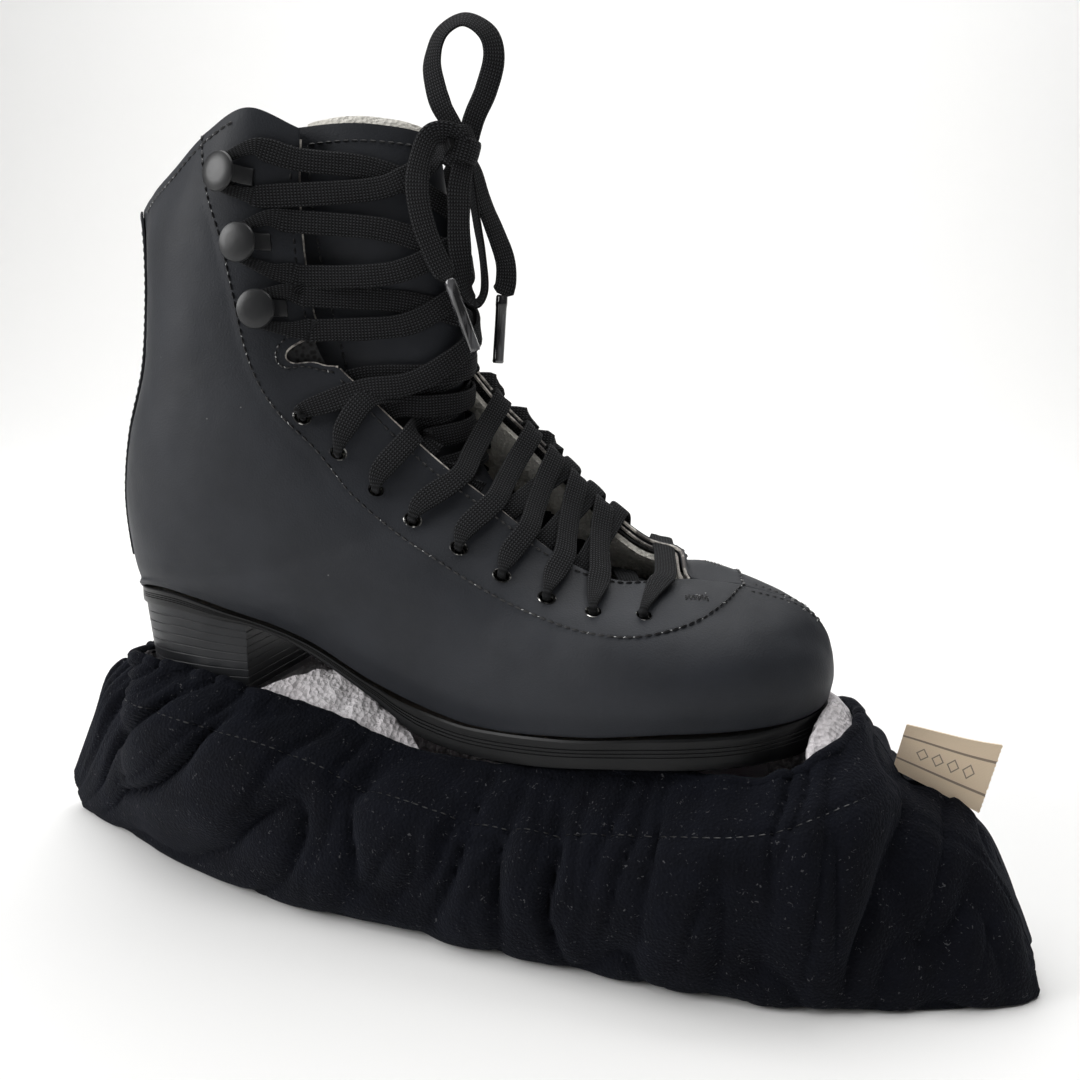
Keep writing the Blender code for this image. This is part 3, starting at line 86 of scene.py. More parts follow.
# The upper's shape. Each row is one section of the boot, from the collar (row 0) down the shaft,
# round the heel and along the foot to the middle of the toe (last row). In a row the points run
# from the back seam or the sole's feather edge up to the edge of the throat.
RIGHT_ROWS = (
    ((3, 0, 240.5), (14.5, -13, 245.5), (30, -23, 253.5), (47, -29, 264.5), (64, -31.5, 271.8),
     (79.4, -25, 266)),
    ((6.5, 0, 226), (16.5, -19.5, 228), (29, -30, 232), (43, -35, 238), (62, -34, 243.5),
     (79.2, -25.5, 243)),
    ((6.3, 0, 207), (16.5, -20.5, 207), (29, -32.5, 209), (44, -38, 211.5), (65, -36, 214), (83, -26, 212)),
    ((4, 0, 184), (14.5, -21, 184), (28, -34, 185), (45, -39.5, 187), (68, -37, 190.5), (90, -26, 193)),
    ((-2, 0, 160), (8.5, -22, 160), (24, -35.5, 161), (47, -40.5, 165), (75, -38, 172), (101, -24, 181.6)),
    ((-4.5, 0, 137), (6.5, -22.5, 137), (24, -36, 139), (51, -41, 146), (83, -37.5, 157),
     (112, -22.5, 171.5)),
    ((-2.5, 0, 115), (8.5, -22, 117), (26, -34.5, 120), (57, -40.5, 130), (91, -37.5, 144.5),
     (122, -21, 163)),
    ((1, 0, 103.5), (10, -21, 109), (29, -34, 114.5), (64, -40, 124), (98, -37, 139), (132, -19.5, 155)),
    ((7, -18, 105), (18, -27.5, 109), (42, -35.5, 113.5), (76, -39.5, 121.5), (107.5, -36, 134.5),
     (139, -19, 150.5)),
    ((25, -28, 106.5), (37, -33, 109.5), (60, -37.5, 113), (90, -39.5, 120.5), (118, -35.5, 131),
     (146, -18, 145.5)),
    ((50, -30.3, 102), (62, -35, 106.5), (83, -38, 110), (108, -39, 118), (131, -34.5, 127),
     (155, -17.5, 139)),
    ((80, -29, 94), (91, -34, 98.5), (108, -37, 104), (129, -38, 113.5), (146, -33, 122),
     (166, -16.5, 131)),
    ((110, -28.5, 79.5), (120, -34.5, 87.5), (134, -38, 97.5), (150, -38, 108.5), (163, -31.5, 117.5),
     (178, -15.5, 124.8)),
    ((145, -34.5, 72), (152, -40, 83), (162, -42, 95.5), (173, -40, 106.5), (181, -30, 115),
     (190, -13, 121.5)),
    ((180, -42.3, 75), (185, -46, 86), (190, -45.5, 98), (195, -40, 108.5), (199, -27, 116),
     (201, -7, 121.3)),
    ((212, -42, 79.5), (214, -45, 90), (215, -43, 101), (214.5, -34.5, 111), (214, -18.5, 118),
     (213, 0, 121.2)),
    ((238, -33, 81.7), (240, -34.5, 92), (239, -32.5, 103), (236, -25.5, 111.5), (234, -13.5, 117),
     (231, 0, 120.5)),
    ((255, -17, 83), (257, -18, 92.5), (255.5, -17, 101.5), (252, -13, 108.5), (250.5, -7, 113.5),
     (248, 0, 116.5)),
    ((260.5, 0, 85), (261.5, 0, 92), (261, 0, 98), (260, 0, 102.5), (258.7, 0, 106.5), (256.7, 0, 110)),
)
# The left side carries the arch of the foot, so its flap stands higher and further forward. These
# are its last three points in each row; the first three mirror the right side's.
LEFT_TOPS = (
    ((47, 29.5, 258.5), (66, 31, 259), (88, 24, 252)),
    ((45, 35.5, 235), (70, 34.5, 238), (98, 22, 236)),
    ((46, 39, 211.5), (74, 38, 215), (107, 20.5, 219)),
    ((47, 40.5, 188), (78, 38.5, 194), (115, 19, 205)),
    ((50, 41.5, 167), (86, 38.5, 178), (124, 17.5, 192.5)),
    ((55, 42, 149), (94, 38, 165), (133, 16.5, 182.5)),
    ((61, 41.5, 134), (102, 37.5, 154), (141, 16, 174.5)),
    ((68, 41, 128), (109, 37, 147.5), (148, 16, 168.5)),
    ((79, 41, 125), (118, 36, 142.5), (153, 16, 164)),
    ((93, 41, 124), (128, 35.5, 138.5), (158.5, 16, 159)),
    ((111, 40.5, 121), (140, 34.5, 133.5), (165, 16, 153)),
    ((131, 40, 116), (154, 33.5, 128), (174, 16, 145)),
    ((151, 40, 111), (169, 32.5, 123), (184, 16, 137.5)),
    ((173, 41.5, 109), (185, 31, 120), (194, 15.5, 131.5)),
    ((195, 41, 110.5), (201, 27.5, 120.5), (206.5, 12.5, 128.8)),
    ((214.5, 36, 112.5), (214.5, 17, 124), (213, 0, 121.2)),
    ((236, 26, 112.5), (234, 13, 120), (231, 0, 120.5)),
    ((252, 13, 108.5), (250.5, 7, 114), (248, 0, 116.5)),
    ((260, 0, 102.5), (258.7, 0, 106.5), (256.7, 0, 110)),
)
BACK_SEAM_LAST_ROW = 7
TOE_SEAM_FIRST_ROW = 15
# The tongue, from its sewn end under the vamp (row 0) to its top, right edge to left edge
TONGUE_ROWS = (
    ((218, -24, 101), (220, -17, 106), (222, -9, 109), (223, 0, 110), (222, 9, 110.5), (220, 17, 108),
     (218, 24, 103)),
    ((195, -25, 102), (197, -18, 108), (199, -9, 111), (200, 0, 112), (200, 9, 112.5), (198, 18, 110),
     (195, 26, 104)),
    ((168, -25, 106), (171, -18, 113), (174, -9, 117), (176, 0, 118.5), (177, 9, 119), (174, 18, 116),
     (169, 26, 109)),
    ((146, -24, 115), (151, -17, 123), (155, -9, 128), (157, 0, 130), (157, 9, 131), (152, 17, 128),
     (146, 25, 120)),
    ((124, -24, 129), (132, -17, 138), (137, -9, 143.5), (139, 0, 145.5), (139, 9, 147), (134, 16, 143.5),
     (126, 24, 134)),
    ((98, -20, 144), (112, -16, 155), (123, -9, 164), (127.5, 0, 167.5), (127, 8, 169), (119, 14, 165),
     (105, 21, 153)),
    ((84, -19, 186), (108, -15.5, 191), (124, -9, 193.5), (129.5, 0, 194), (124, 7, 195), (113, 11.5, 193),
     (93, 17, 190)),
    ((78, -18, 210), (101, -16, 214), (120, -9, 216), (127, 0, 216), (121, 7.5, 217), (108, 12.5, 216),
     (88, 17, 213)),
    ((72, -18.5, 236), (97, -17, 239), (115, -10, 240), (122.5, 0, 240), (116, 8.5, 240), (102, 14, 239),
     (80, 18, 236)),
    ((70, -19, 268), (93, -17, 270), (110, -10, 269), (118, 0, 267), (111, 8.5, 268), (97, 14, 268),
     (76, 18, 266)),
)
TONGUE_THICK, TONGUE_PAD_DEPTH, TONGUE_PAD_THICK = 1.8, 2.2, 4.5
# The bow: its knot in front of the tongue's top, two loops, two ends and their aglets
KNOT, KNOT_SIZE = (126.5, -3, 265), (5.5, 7.0, 6.5)
TAG_THICK = 0.8
# The sole's outline on the right side (x, half width), heel to toe, and its top and bottom (x, z)
SOLE_OUTLINE = ((1, 0), (2.8, 8), (6.5, 15), (13, 21.5), (23, 26.8), (35, 29.3), (48, 30), (75, 29),
                (100, 28),
                (125, 30), (150, 35.5), (178, 42), (200, 43.5), (220, 41.5), (238, 34), (251, 22.5), (259,
                    9),
                (261.5, 0))
SOLE_TOP = ((-1, 103.2), (25, 106), (50, 101.5), (80, 93.7), (110, 79.2), (125, 74), (145, 71.7),
            (180, 74.7),
            (212, 79.2), (238, 81.4), (262, 84.5))
SOLE_BOTTOM = ((-1, 96.5), (25, 99), (50, 97), (60, 96), (75, 91.8), (85, 86.8), (97, 79.9), (110, 72.2),
               (122, 64.6),
               (130, 62), (141, 60.8), (160, 61.4), (199, 66.4), (233, 69.2), (262, 71))
# The blade cover: for each section from back tip to front tip, the top edge (x, y, z), the x of
# its foot and the belly's half width
COVER_SECTIONS = (
    ((-44, 0, 14), -38, 4), ((-31, 0, 41), -21, 13), ((-21, 0, 62), -4, 20), ((-3, 0, 73.5), 9, 27),
    ((3, -20, 76), 18, 32), ((13, -32.5, 78), 29, 37), ((31, -37, 78), 43, 42), ((50, -38, 76), 58, 47),
    ((68, -35, 73.5), 75, 51), ((92, -32, 68), 96, 54), ((116, -32.5, 61), 118, 55), ((145, -34, 55.5), 146,
        55.5),
    ((180, -36, 56), 180, 56), ((210, -36, 60), 210, 56), ((232, -39, 64), 233, 55.5), ((250, -37, 70), 254,
        53),
    ((265, -26, 77), 273, 47.5), ((272, -10, 79), 285, 42), ((274, 0, 78), 295, 38), ((286, 0, 63), 305,
        32),
    ((308, 0, 53), 318, 24.5), ((321, 0, 34), 327, 17), ((330, 0, 12), 333, 9),
)
# The belly leans to the right by this much per millimetre in front of this x, less and less up to the rim
COVER_LEAN, COVER_LEAN_FROM, COVER_LEAN_TOP = 0.045, 70.0, 75.0
COVER_OPEN_FIRST, COVER_OPEN_LAST = 3, 18
ANKLE_Z = 158
# How far a lace's strands spread above and below a hook (in rows), and how much higher it leaves than arrives
# How many net rows a lace climbs the flap between its eyelet and the flap's edge
LACE_LEAN = 0.9
HOOK_SPREAD = 0.27
LEAVING_RISE = 2.2

# Camera: its place, turn, tilt and lens
CAMERA_PLACE = (271.0, -392.2, 210.2)
CAMERA_AZIMUTH, CAMERA_ELEVATION, CAMERA_ROLL = 16.05, 11.07, 1.64
CAMERA_LENS = 39.4
# Light
SKY_STRENGTH, OVERHEAD_POWER, LEFT_POWER, WALL_POWER = 0.14, 32.0, 22.0, 16.0
FLOOR_DROP = 0.0005
# Sewing
STITCH_PITCH, THREAD_R, FLECK_R = 3.0, 0.38, 0.12
# The piping round the ankle notch: depth under the leather's face, and radius
NOTCH_PIPES = ((0.3, 0.52), (2.4, 0.45))
EYESTAY_RAISE = 0.4
EYESTAY_SEAM = ((0.0, 2.85), (1.2, 3.5), (2.0, 3.7), (3.6, 3.95), (5.0, 4.18), (7.3, 4.18),
                (10.3, 3.95), (12.5, 3.5), (13.8, 3.05), (14.5, 2.95), (15.1, 3.15), (15.5, 3.7),
                (15.95, 4.9), (16.1, 5.6))
# Lace: chains of loops across its width, and loops along its length (in tenths of a metre)
LACE_CHAINS, LACE_STEPS = 8.0, 90.0
# The bow as it lies: each loop's and end's way, and the aglets
KNOT_AT = (128.3, -5.0, 261.5)
BOW_LAY = {
    "bow_loop_up": ((128.3, -4, 261.5), (126, -4, 267.5), (121.4, -5, 275), (118.4, -4, 282.3),
                    (116.5, -2, 290.6), (118.8, 0, 299.4), (126.5, 1, 303.7), (134.3, 2, 299.6),
                    (136.9, 2, 291.7), (134.7, 1, 281.2), (131.7, -2, 271.9), (129.7, -4, 262)),
    "bow_loop_down": ((129.8, -6, 259.6), (130.3, -9, 254.5), (130.1, -11, 248), (130.5, -12, 241),
                      (131, -13, 233.4), (131.9, -13, 225.3), (133.1, -11, 215.6), (136, -9, 211.5),
                      (138.1, -7, 215.5), (136.8, -5, 225.8), (134.1, -4, 238), (131.4, -3, 249.7),
                      (129.4, -3, 259)),
    "lace_end_near": ((129.8, -6, 261.2), (129, -9.5, 264.3), (126, -13, 265.8), (121.5, -16, 263.9),
                      (119.3, -19, 255.7), (119.5, -21.5, 246.4), (122.1, -22, 235.6),
                      (126.1, -21, 225.9), (129.8, -19.5, 218.6)),
    "lace_end_far": ((129.4, -3, 259), (131.3, 0, 255), (133.6, 3, 246), (137.5, 5, 236),
                     (141, 6, 226.3), (141.7, 5.5, 219), (140.5, 5, 214.5)),
}
AGLET_LAY = {
    "aglet_near": ((130.3, -19.3, 218.4), (139.1, -18, 195.8)),
    "aglet_far": ((140.5, 5, 214.1), (139.6, 5, 191.1)),
}
# The bow: which way is away from the viewer, and how far each loop's or end's width turns that way
AWAY = (-0.28, 0.96, 0.0)
BOW_TILTS = {
    "bow_loop_up": (65, 40, 15, 25, 45, 50, 40, 20, 10, 20, 40),
    "bow_loop_down": (40, 15, 5, 10, 60, 70, 75, 70, 60),
    "lace_end_near": (60, 35, 15, 10, 10, 15, 30),
    "lace_end_far": (55, 50, 45, 30, 20, 15),
}
# The knot's wraps: radius, height along the axis, axis, width
KNOT_WRAPS = ((5.4, 0.0, (0.25, 0.1, 1.0), 8.0), (4.7, 3.2, (-0.35, 0.2, 0.9), 6.5),
              (4.6, -3.8, (0.5, 0.2, 0.8), 6.5), (4.6, 0.5, (0.9, -0.2, 0.4), 6.5))
HOOK_TILT = 0.3
# The cover's folds lean to the heel by up to this much at each column
FOLD_LEAN = 32.0
# The lines round the sole's edge are cut this deep
GROOVE_DEPTH = 0.38
# The casing's seam runs at this column
CASING_COLUMN = 0.85
# How far the terry lining stands above the cover's rim, at each x
TERRY_RISE = ((60, 0), (66, 2), (72, 6), (80, 9.6), (90, 13), (100, 9), (110, 7), (120, 4), (128, 0),
              (257, 0), (264, 5), (274, 8), (284, 3), (290, 0))
# The tag's corners (x, z): lower rear, lower front, upper front, upper rear
TAG_CORNERS = ((283.0, 63.4), (311.2, 52.6), (316.2, 76.8), (286.2, 78.6))

FLAT = (LACE_WIDTH, LACE_THICK)
PINCHED = (LACE_PINCH_WIDTH, LACE_PINCH_THICK)
HALF_FLAT = (5.0, 1.7)


# ---------------------------------------------------------------------------------------------
# Surfaces

def catmull(points, places):
    """Points of the smooth curve through points[1:-1] at the places 0 .. n-3 (a Catmull-Rom curve)."""
    last = len(points) - 3
    places = np.clip(places, 0, last)
    first = np.minimum(places.astype(int), last - 1)
    t = (places - first).reshape((-1,) + (1,) * (points.ndim - 1))
    p0, p1, p2, p3 = (points[first + k] for k in range(4))
    return p1 + 0.5 * t * (p2 - p0 + t * (2 * p0 - 5 * p1 + 4 * p2 - p3 + t * (3 * (p1 - p2) + p3 - p0)))


def open_ends(points):
    """The points with one more at each end, carried straight on."""
    points = np.asarray(points, float)
    return np.concatenate([[2 * points[0] - points[1]], points, [2 * points[-1] - points[-2]]])


def curve_through(points, count):
    points = np.asarray(points, float)
    return catmull(open_ends(points), np.linspace(0, len(points) - 1, count))


def level(table, x):
    """Height or width at x, read from a table of (x, value) pairs by a smooth curve."""
    table = np.asarray(table, float)
    places = np.interp(x, table[:, 0], np.arange(len(table)))
    return catmull(open_ends(table[:, 1:]), np.atleast_1d(places))[:, 0]


def upper_nets():
    """The right and left nets, each with a border that carries the surface smoothly over the seams."""
    right = np.array(RIGHT_ROWS, float)
    left = np.concatenate([right[:, :3] * (1, -1, 1), np.array(LEFT_TOPS, float)], axis=1)
    padded = []
    for net, other in ((right, left), (left, right)):
        full = np.stack([open_ends(row) for row in net])
        full[: BACK_SEAM_LAST_ROW + 1, 0] = other[: BACK_SEAM_LAST_ROW + 1, 1]
        full[TOE_SEAM_FIRST_ROW:, -1] = other[TOE_SEAM_FIRST_ROW:, -2]
        top = 2 * full[0] - full[1]
        toe = full[-2] * (1, -1, 1)
        padded.append(np.concatenate([[top], full, [toe]]))
    return padded


RIGHT_NET, LEFT_NET = upper_nets()
ROW_LAST = len(RIGHT_ROWS) - 1
COLUMN_LAST = len(RIGHT_ROWS[0]) - 1


def skin(net, rows, columns):
    """A grid of points of the surface over a bordered net, at the given rows and columns."""
    across = np.stack([catmull(row, np.asarray(columns, float)) for row in net])
    return catmull(across, np.asarray(rows, float))


def skin_point(net, row, column):
    """The point at (row, column) of a bordered net, its normal, and the direction along the rows."""
    step = 0.02
    last_row, last_column = len(net) - 3, net.shape[1] - 3
    r = min(max(row, step), last_row - step)
    c = min(max(column, step), last_column - step)
    grid = skin(net, [r - step, r, r + step], [c - step, c, c + step])
    along = grid[2, 1] - grid[0, 1]
    across = grid[1, 2] - grid[1, 0]
    normal = np.cross(along, across)
    if net is LEFT_NET:
        normal = -normal
    return skin(net, [row], [column])[0, 0], unit(normal), unit(along)


def unit(vector):
    return np.asarray(vector, float) / max(np.linalg.norm(vector), 1e-9)


def grid_normals(grid):
    """Unit normals of a grid of points, rows x columns, by central differences."""
    along = np.gradient(grid, axis=0)
    across = np.gradient(grid, axis=1)
    normal = np.cross(across, along)
    return normal / np.maximum(np.linalg.norm(normal, axis=2, keepdims=True), 1e-9)


def loft(sections):
    """Points and faces of a closed body through equal rings of points, with flat ends."""
    count = len(sections[0])
    faces = []
    for s in range(len(sections) - 1):
        a, b = s * count, (s + 1) * count
        faces += [(a + k, a + (k + 1) % count, b + (k + 1) % count, b + k) for k in range(count)]
    last = (len(sections) - 1) * count
    faces += [tuple(range(count))[::-1], tuple(range(last, last + count))]
    return np.concatenate(sections), faces


def eyelet_places(side):
    """Row and column of each eyelet on one side, lowest (nearest the toe) first."""
    return RIGHT_EYELETS if side < 0 else LEFT_EYELETS


def hook_places(side):
    """Row and column of each hook on one side, lowest first."""
    return RIGHT_HOOKS if side < 0 else LEFT_HOOKS


def tongue_net():
    net = np.stack([open_ends(row) for row in TONGUE_ROWS])
    return np.concatenate([[2 * net[0] - net[1]], net, [2 * net[-1] - net[-2]]])


def side_net(side):
    return RIGHT_NET if side < 0 else LEFT_NET


def on_flap(side, row, column, lift):
    """A point that lifts off a flap's face, and the direction down the flap."""
    place, normal, along = skin_point(side_net(side), row, column)
    return place + normal * lift, along


def through_eyelet(side, index, upwards):
    row, column = eyelet_places(side)[index]
    steps = [(*on_flap(side, row, column, lift), PINCHED) for lift in (-6.8, -3.2, 0.2, 3.2)]
    return steps if upwards else steps[::-1]


def over_tongue(z, column, lift):
    """A point that lifts off the tongue's face at height z, and the direction up the tongue."""
    net = tongue_net()
    rows = np.linspace(0, len(TONGUE_ROWS) - 1, 37)
    heights = skin(net, rows, [column])[:, 0, 2]
    place, normal, along = skin_point(net, float(np.interp(z, heights, rows)), column)
    if normal[0] < 0:
        normal = -normal
    return place + normal * lift, along


def tongue_samples():
    """Points spread over the tongue's face and their outward normals."""
    grid = skin(tongue_net(), np.linspace(0, len(TONGUE_ROWS) - 1, 55), np.linspace(0, 6, 31))
    normals = grid_normals(grid)
    normals *= np.sign(normals[..., 0].mean())
    return grid.reshape(-1, 3), normals.reshape(-1, 3)


TONGUE_FACE = tongue_samples()


def tongue_way(place):
    """The outward normal of the tongue's face where it is nearest to the place."""
    points, normals = TONGUE_FACE
    return normals[np.argmin(((points - place) ** 2).sum(axis=1))]


def tongue_lift(place, lift):
    """How far the place must move outwards to be lift off the tongue's face; 0 when it is."""
    points, normals = TONGUE_FACE
    nearest = np.argmin(((points - place) ** 2).sum(axis=1))
    offset = place - points[nearest]
    height = offset @ normals[nearest]
    sideways = np.linalg.norm(offset - normals[nearest] * height)
    return max(0.0, lift - height) if sideways < 3 and height > -12 else 0.0


def clear_of_tongue(place, lift):
    """The place itself, or moved off the tongue's face so that it stays at least lift above it."""
    return place + tongue_way(place) * tongue_lift(place, lift)


def between(start, end, shares, lift, rise):
    """Stations on the straight line between two stations, kept off the tongue and raised by rise."""
    stations = []
    for share in shares:
        place = start[0] * (1 - share) + end[0] * share
        hump = math.sin(math.pi * share) * rise
        place = clear_of_tongue(place + np.array((0.45, 0, 0.9)) * hump, lift + max(0, rise) * 1.6)
        stations.append((place, unit(start[1] + end[1]), FLAT))
    return stations


def past_edge(side, row, beyond, lift):
    """A point past a flap's edge: beyond it in the flap's own plane, and lifted off its face."""
    edge, normal, along = skin_point(side_net(side), row, COLUMN_LAST)
    outwards = unit(edge - skin_point(side_net(side), row, COLUMN_LAST - 0.3)[0])
    return edge + outwards * beyond + normal * lift, along


def across_throat(side, row, opposite_row, rise):
    """From over one flap's edge, across the gap, to under the other flap's edge."""
    over = (*on_flap(side, row - 0.5 * LACE_LEAN, 4.6, 3.2), FLAT)
    edge = (*past_edge(side, row - LACE_LEAN, 0.5, 2.8), FLAT)
    rim = (*past_edge(-side, opposite_row - 0.55 * LACE_LEAN, 3.4, -2.4), FLAT)
    under = (*on_flap(-side, opposite_row - 0.3 * LACE_LEAN, 4.6, -6.4), FLAT)
    if edge[0][2] > ANKLE_Z:
        gap = [
            (*over_tongue(edge[0][2] * (1 - share) + rim[0][2] * share, 3 + side * 1.9 * (1 - 2 * share),
                          2.4 + rise), FLAT)
            for share in (0.1, 0.35, 0.6, 0.85)
        ]
    else:
        gap = between(edge, rim, (0.3, 0.6), 1.6, rise)
    rim = (clear_of_tongue(rim[0], 1.6), *rim[1:])
    under = (clear_of_tongue(under[0], 1.6), *under[1:])
    return [over, edge, *gap, rim, under]


def round_hook(side, index):
    """The bight of lace behind a hook's neck, from its upper side to its lower side."""
    row, column = hook_places(side)[index]
    place, normal, along = skin_point(side_net(side), row, column)
    back = np.cross(normal, along)
    if (skin(side_net(side), [row], [column + 0.2])[0, 0] - place) @ back > 0:
        back = -back
    steps = []
    for turn in (75, 35, 0, -35, -75):
        radial = back * math.cos(math.radians(turn)) - along * math.sin(math.radians(turn))
        spot = place + normal * (HOOK_STAND / 2 + 0.1) + radial * (HOOK_NECK_R + 2.2)
        steps.append((spot, radial, PINCHED))
    return steps


def off_flap(side, row, column):
    """From beside a hook or an eyelet at this column, over the flap and past its edge."""
    steps = [(*on_flap(side, row, min(column + 0.42, 4.62), 2.5), HALF_FLAT)]
    steps.append((*on_flap(side, row, min(column + 0.72, 4.85), 2.5), FLAT))
    steps.append((*past_edge(side, row, 0.5, 2.8), FLAT))
    return steps


def between_hooks(start, end, lift):
    """From (side, row, column) over one flap's edge, over the tongue, and over the other flap's edge."""
    side = start[0]
    leaving, arriving = off_flap(*start), off_flap(*end)[::-1]
    low, high = leaving[-1][0][2], arriving[0][0][2]
    middle = [
        (*over_tongue(low + (high - low) * share, 3 + side * 1.9 * (1 - 2 * share),
                      3.6 + lift + LEAVING_RISE * (0.5 - share)), FLAT)
        for share in (0.06, 0.28, 0.5, 0.72, 0.94)
    ]
    return leaving + middle + arriving


def lace_path(start_side, lift, bar):
    """One half of the lace from its lowest eyelet to the knot, as runs of stations that meet at the hooks."""
    side, steps, runs = start_side, [], []
    rows = {s: [row for row, _ in eyelet_places(s)] for s in (-1, 1)}
    if bar:
        steps += through_eyelet(-side, 0, True)
        for s, column in ((-side, 4.55), (-side, 5), (side, 4.75), (side, 4.45)):
            steps.append((*on_flap(s, rows[s][0], column, 3.2), FLAT))
    steps += through_eyelet(side, 0, False)
    for index in range(1, EYELET_COUNT):
        rising = through_eyelet(-side, index, True)
        if index > 1:
            steps += across_throat(side, rows[side][index - 1], rows[-side][index], abs(lift) * side)
        else:
            steps += between(steps[-1], rising[0], (0.25, 0.5, 0.75), 1.6, lift)
        steps += rising
        side = -side
    here = (side, rows[side][-1] - 0.1, 3.9)
    for index in range(HOOK_COUNT):
        row, column = hook_places(-side)[index]
        steps += between_hooks(here, (-side, row - HOOK_SPREAD, column), lift)
        side = -side
        bight = round_hook(side, index)
        runs.append(steps + bight[:3])
        steps = bight[2:]
        here = (side, row + HOOK_SPREAD, column)
    steps += off_flap(*here)[:2]
    for share, height in ((0.9, 247), (0.6, 251), (0.3, 257)):
        steps.append((*over_tongue(height, 3 + side * 2 * share, 4.4 + lift), FLAT))
    steps.append((np.array(KNOT) + (1.5, side * (KNOT_SIZE[1] + 2.8), -2), (0, 0, 1), PINCHED))
    runs.append(steps)
    return runs


def sole_top(x):
    return level(SOLE_TOP, x) - SOLE_TOP_GAP


def sole_bottom(x):
    return level(SOLE_BOTTOM, x)


def heel_bottom(x):
    return np.interp(x, (5, HEEL_BREAST_X), (HEEL_BOTTOM_BACK_Z, HEEL_BOTTOM_BREAST_Z))


def outline_points(count, inset=0.0, low=None, high=None):
    """The sole's outline (x, half width), drawn in by inset and cut to low <= x <= high."""
    line = curve_through(SOLE_OUTLINE, count)
    middle = (line[0, 0] + line[-1, 0]) / 2
    length = line[-1, 0] - line[0, 0]
    line[:, 0] = middle + (line[:, 0] - middle) * (1 - 2 * inset / length)
    line[:, 1] = np.maximum(line[:, 1] - inset, 0)
    if low is not None:
        inside = (line[:, 0] > low + 0.5) & (line[:, 0] < high - 0.5)
        ends = [[e, np.interp(e, line[:, 0], line[:, 1])] for e in (low, high)]
        line = np.concatenate([ends[:1], line[inside], ends[1:]])
    return line


def cover_net():
    """Six points from the top edge, over the shoulder and the belly, to the middle of the foot."""
    rows = []
    for (tx, ty, tz), fx, belly in COVER_SECTIONS:
        top = np.array((tx, ty, tz), float)
        wide = np.array((0.35 * tx + 0.65 * fx, -belly, 0.32 * tz + 3))
        shoulder = top * 0.45 + wide * 0.55 + np.array((0, -0.12 * belly, 0.14 * tz))
        rows.append([top, shoulder, wide, (0.1 * tx + 0.9 * fx, -0.86 * belly, 0.0),
                     (fx, -0.45 * belly, 0.0), (fx, 0, 0.0)])
    rows = np.array(rows, float)
    full = np.stack([open_ends(row) for row in rows])
    full[:, -1] = full[:, -3] * (1, -1, 1)
    return np.concatenate([[2 * full[0] - full[1]], full, [2 * full[-1] - full[-2]]])


def leaned(points):
    """The cover's points with its belly leaning towards the right at the toe end."""
    points = points.copy()
    share = np.clip(1 - points[..., 2] / COVER_LEAN_TOP, 0, 1)
    points[..., 1] -= COVER_LEAN * (points[..., 0] - COVER_LEAN_FROM) * share
    return points


# ---------------------------------------------------------------------------------------------
# Pieces

def world(points):
    """Millimetres from the back of the heel, turned into the frame's metres."""
    return (np.asarray(points, float) - (FRAME_CENTRE_X, FRAME_CENTRE_Y, 0)) * MM


def finish_mesh(mesh, angle=50):
    shape = bmesh.new()
    shape.from_mesh(mesh)
    bmesh.ops.recalc_face_normals(shape, faces=shape.faces)
    shape.to_mesh(mesh)
    shape.free()
    mesh.shade_smooth()
    mesh.set_sharp_from_angle(angle=math.radians(angle))


def piece(name, points, faces, finish, body, slot, nodes=(), uv=None, angle=50):
    """A piece of the object: its mesh, finish, CAD body and the nodes it stands for; slot is not used."""
    mesh = bpy.data.meshes.new(name)
    mesh.from_pydata([tuple(p) for p in world(points)], [], [tuple(f) for f in faces])
    if uv is not None:
        layer = mesh.uv_layers.new(name="along")
        order = np.empty(len(mesh.loops), np.int32)
        mesh.loops.foreach_get("vertex_index", order)
        layer.data.foreach_set("uv", np.asarray(uv, np.float32)[order].ravel())
    mesh.update()
    finish_mesh(mesh, angle)
    mesh.materials.append(finish)
    obj = bpy.data.objects.new(name, mesh)
    bpy.context.scene.collection.objects.link(obj)
    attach(obj, body)
    if nodes:
        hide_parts(*nodes)
    return obj


def slab_faces(rows, columns):
    """Faces of a closed sheet whose points are an outer grid and then an inner one."""
    count = rows * columns
    faces = []
    for r in range(rows - 1):
        for c in range(columns - 1):
            a = r * columns + c
            faces.append((a, a + 1, a + columns + 1, a + columns))
            faces.append((a + count, a + columns + count, a + columns + 1 + count, a + 1 + count))
    ring = [(0, c) for c in range(columns)] + [(r, columns - 1) for r in range(1, rows)]
    ring += [(rows - 1, c) for c in range(columns - 2, -1, -1)] + [(r, 0) for r in range(rows - 2, 0, -1)]
    ids = [r * columns + c for r, c in ring]
    faces += [(b, a, a + count, b + count) for a, b in zip(ids, ids[1:] + ids[:1])]
    return faces


def rounded(outer, inner, share=0.3):
    """Draws the two faces of a sheet together along its edge, so that the edge looks rounded."""
    outer, inner = outer.copy(), inner.copy()
    middle = (outer + inner) / 2
    edge = np.zeros(outer.shape[:2], bool)
    edge[[0, -1]] = True
    edge[:, [0, -1]] = True
    outer[edge] += (middle[edge] - outer[edge]) * share
    inner[edge] += (middle[edge] - inner[edge]) * share
    return outer, inner


def slab_piece(name, outer, inner, finish, body, slot, nodes=(), share=0.3, angle=50):
    outer, inner = rounded(outer, inner, share)
    points = np.concatenate([outer.reshape(-1, 3), inner.reshape(-1, 3)])
    return piece(name, points, slab_faces(*outer.shape[:2]), finish, body, slot, nodes, angle=angle)


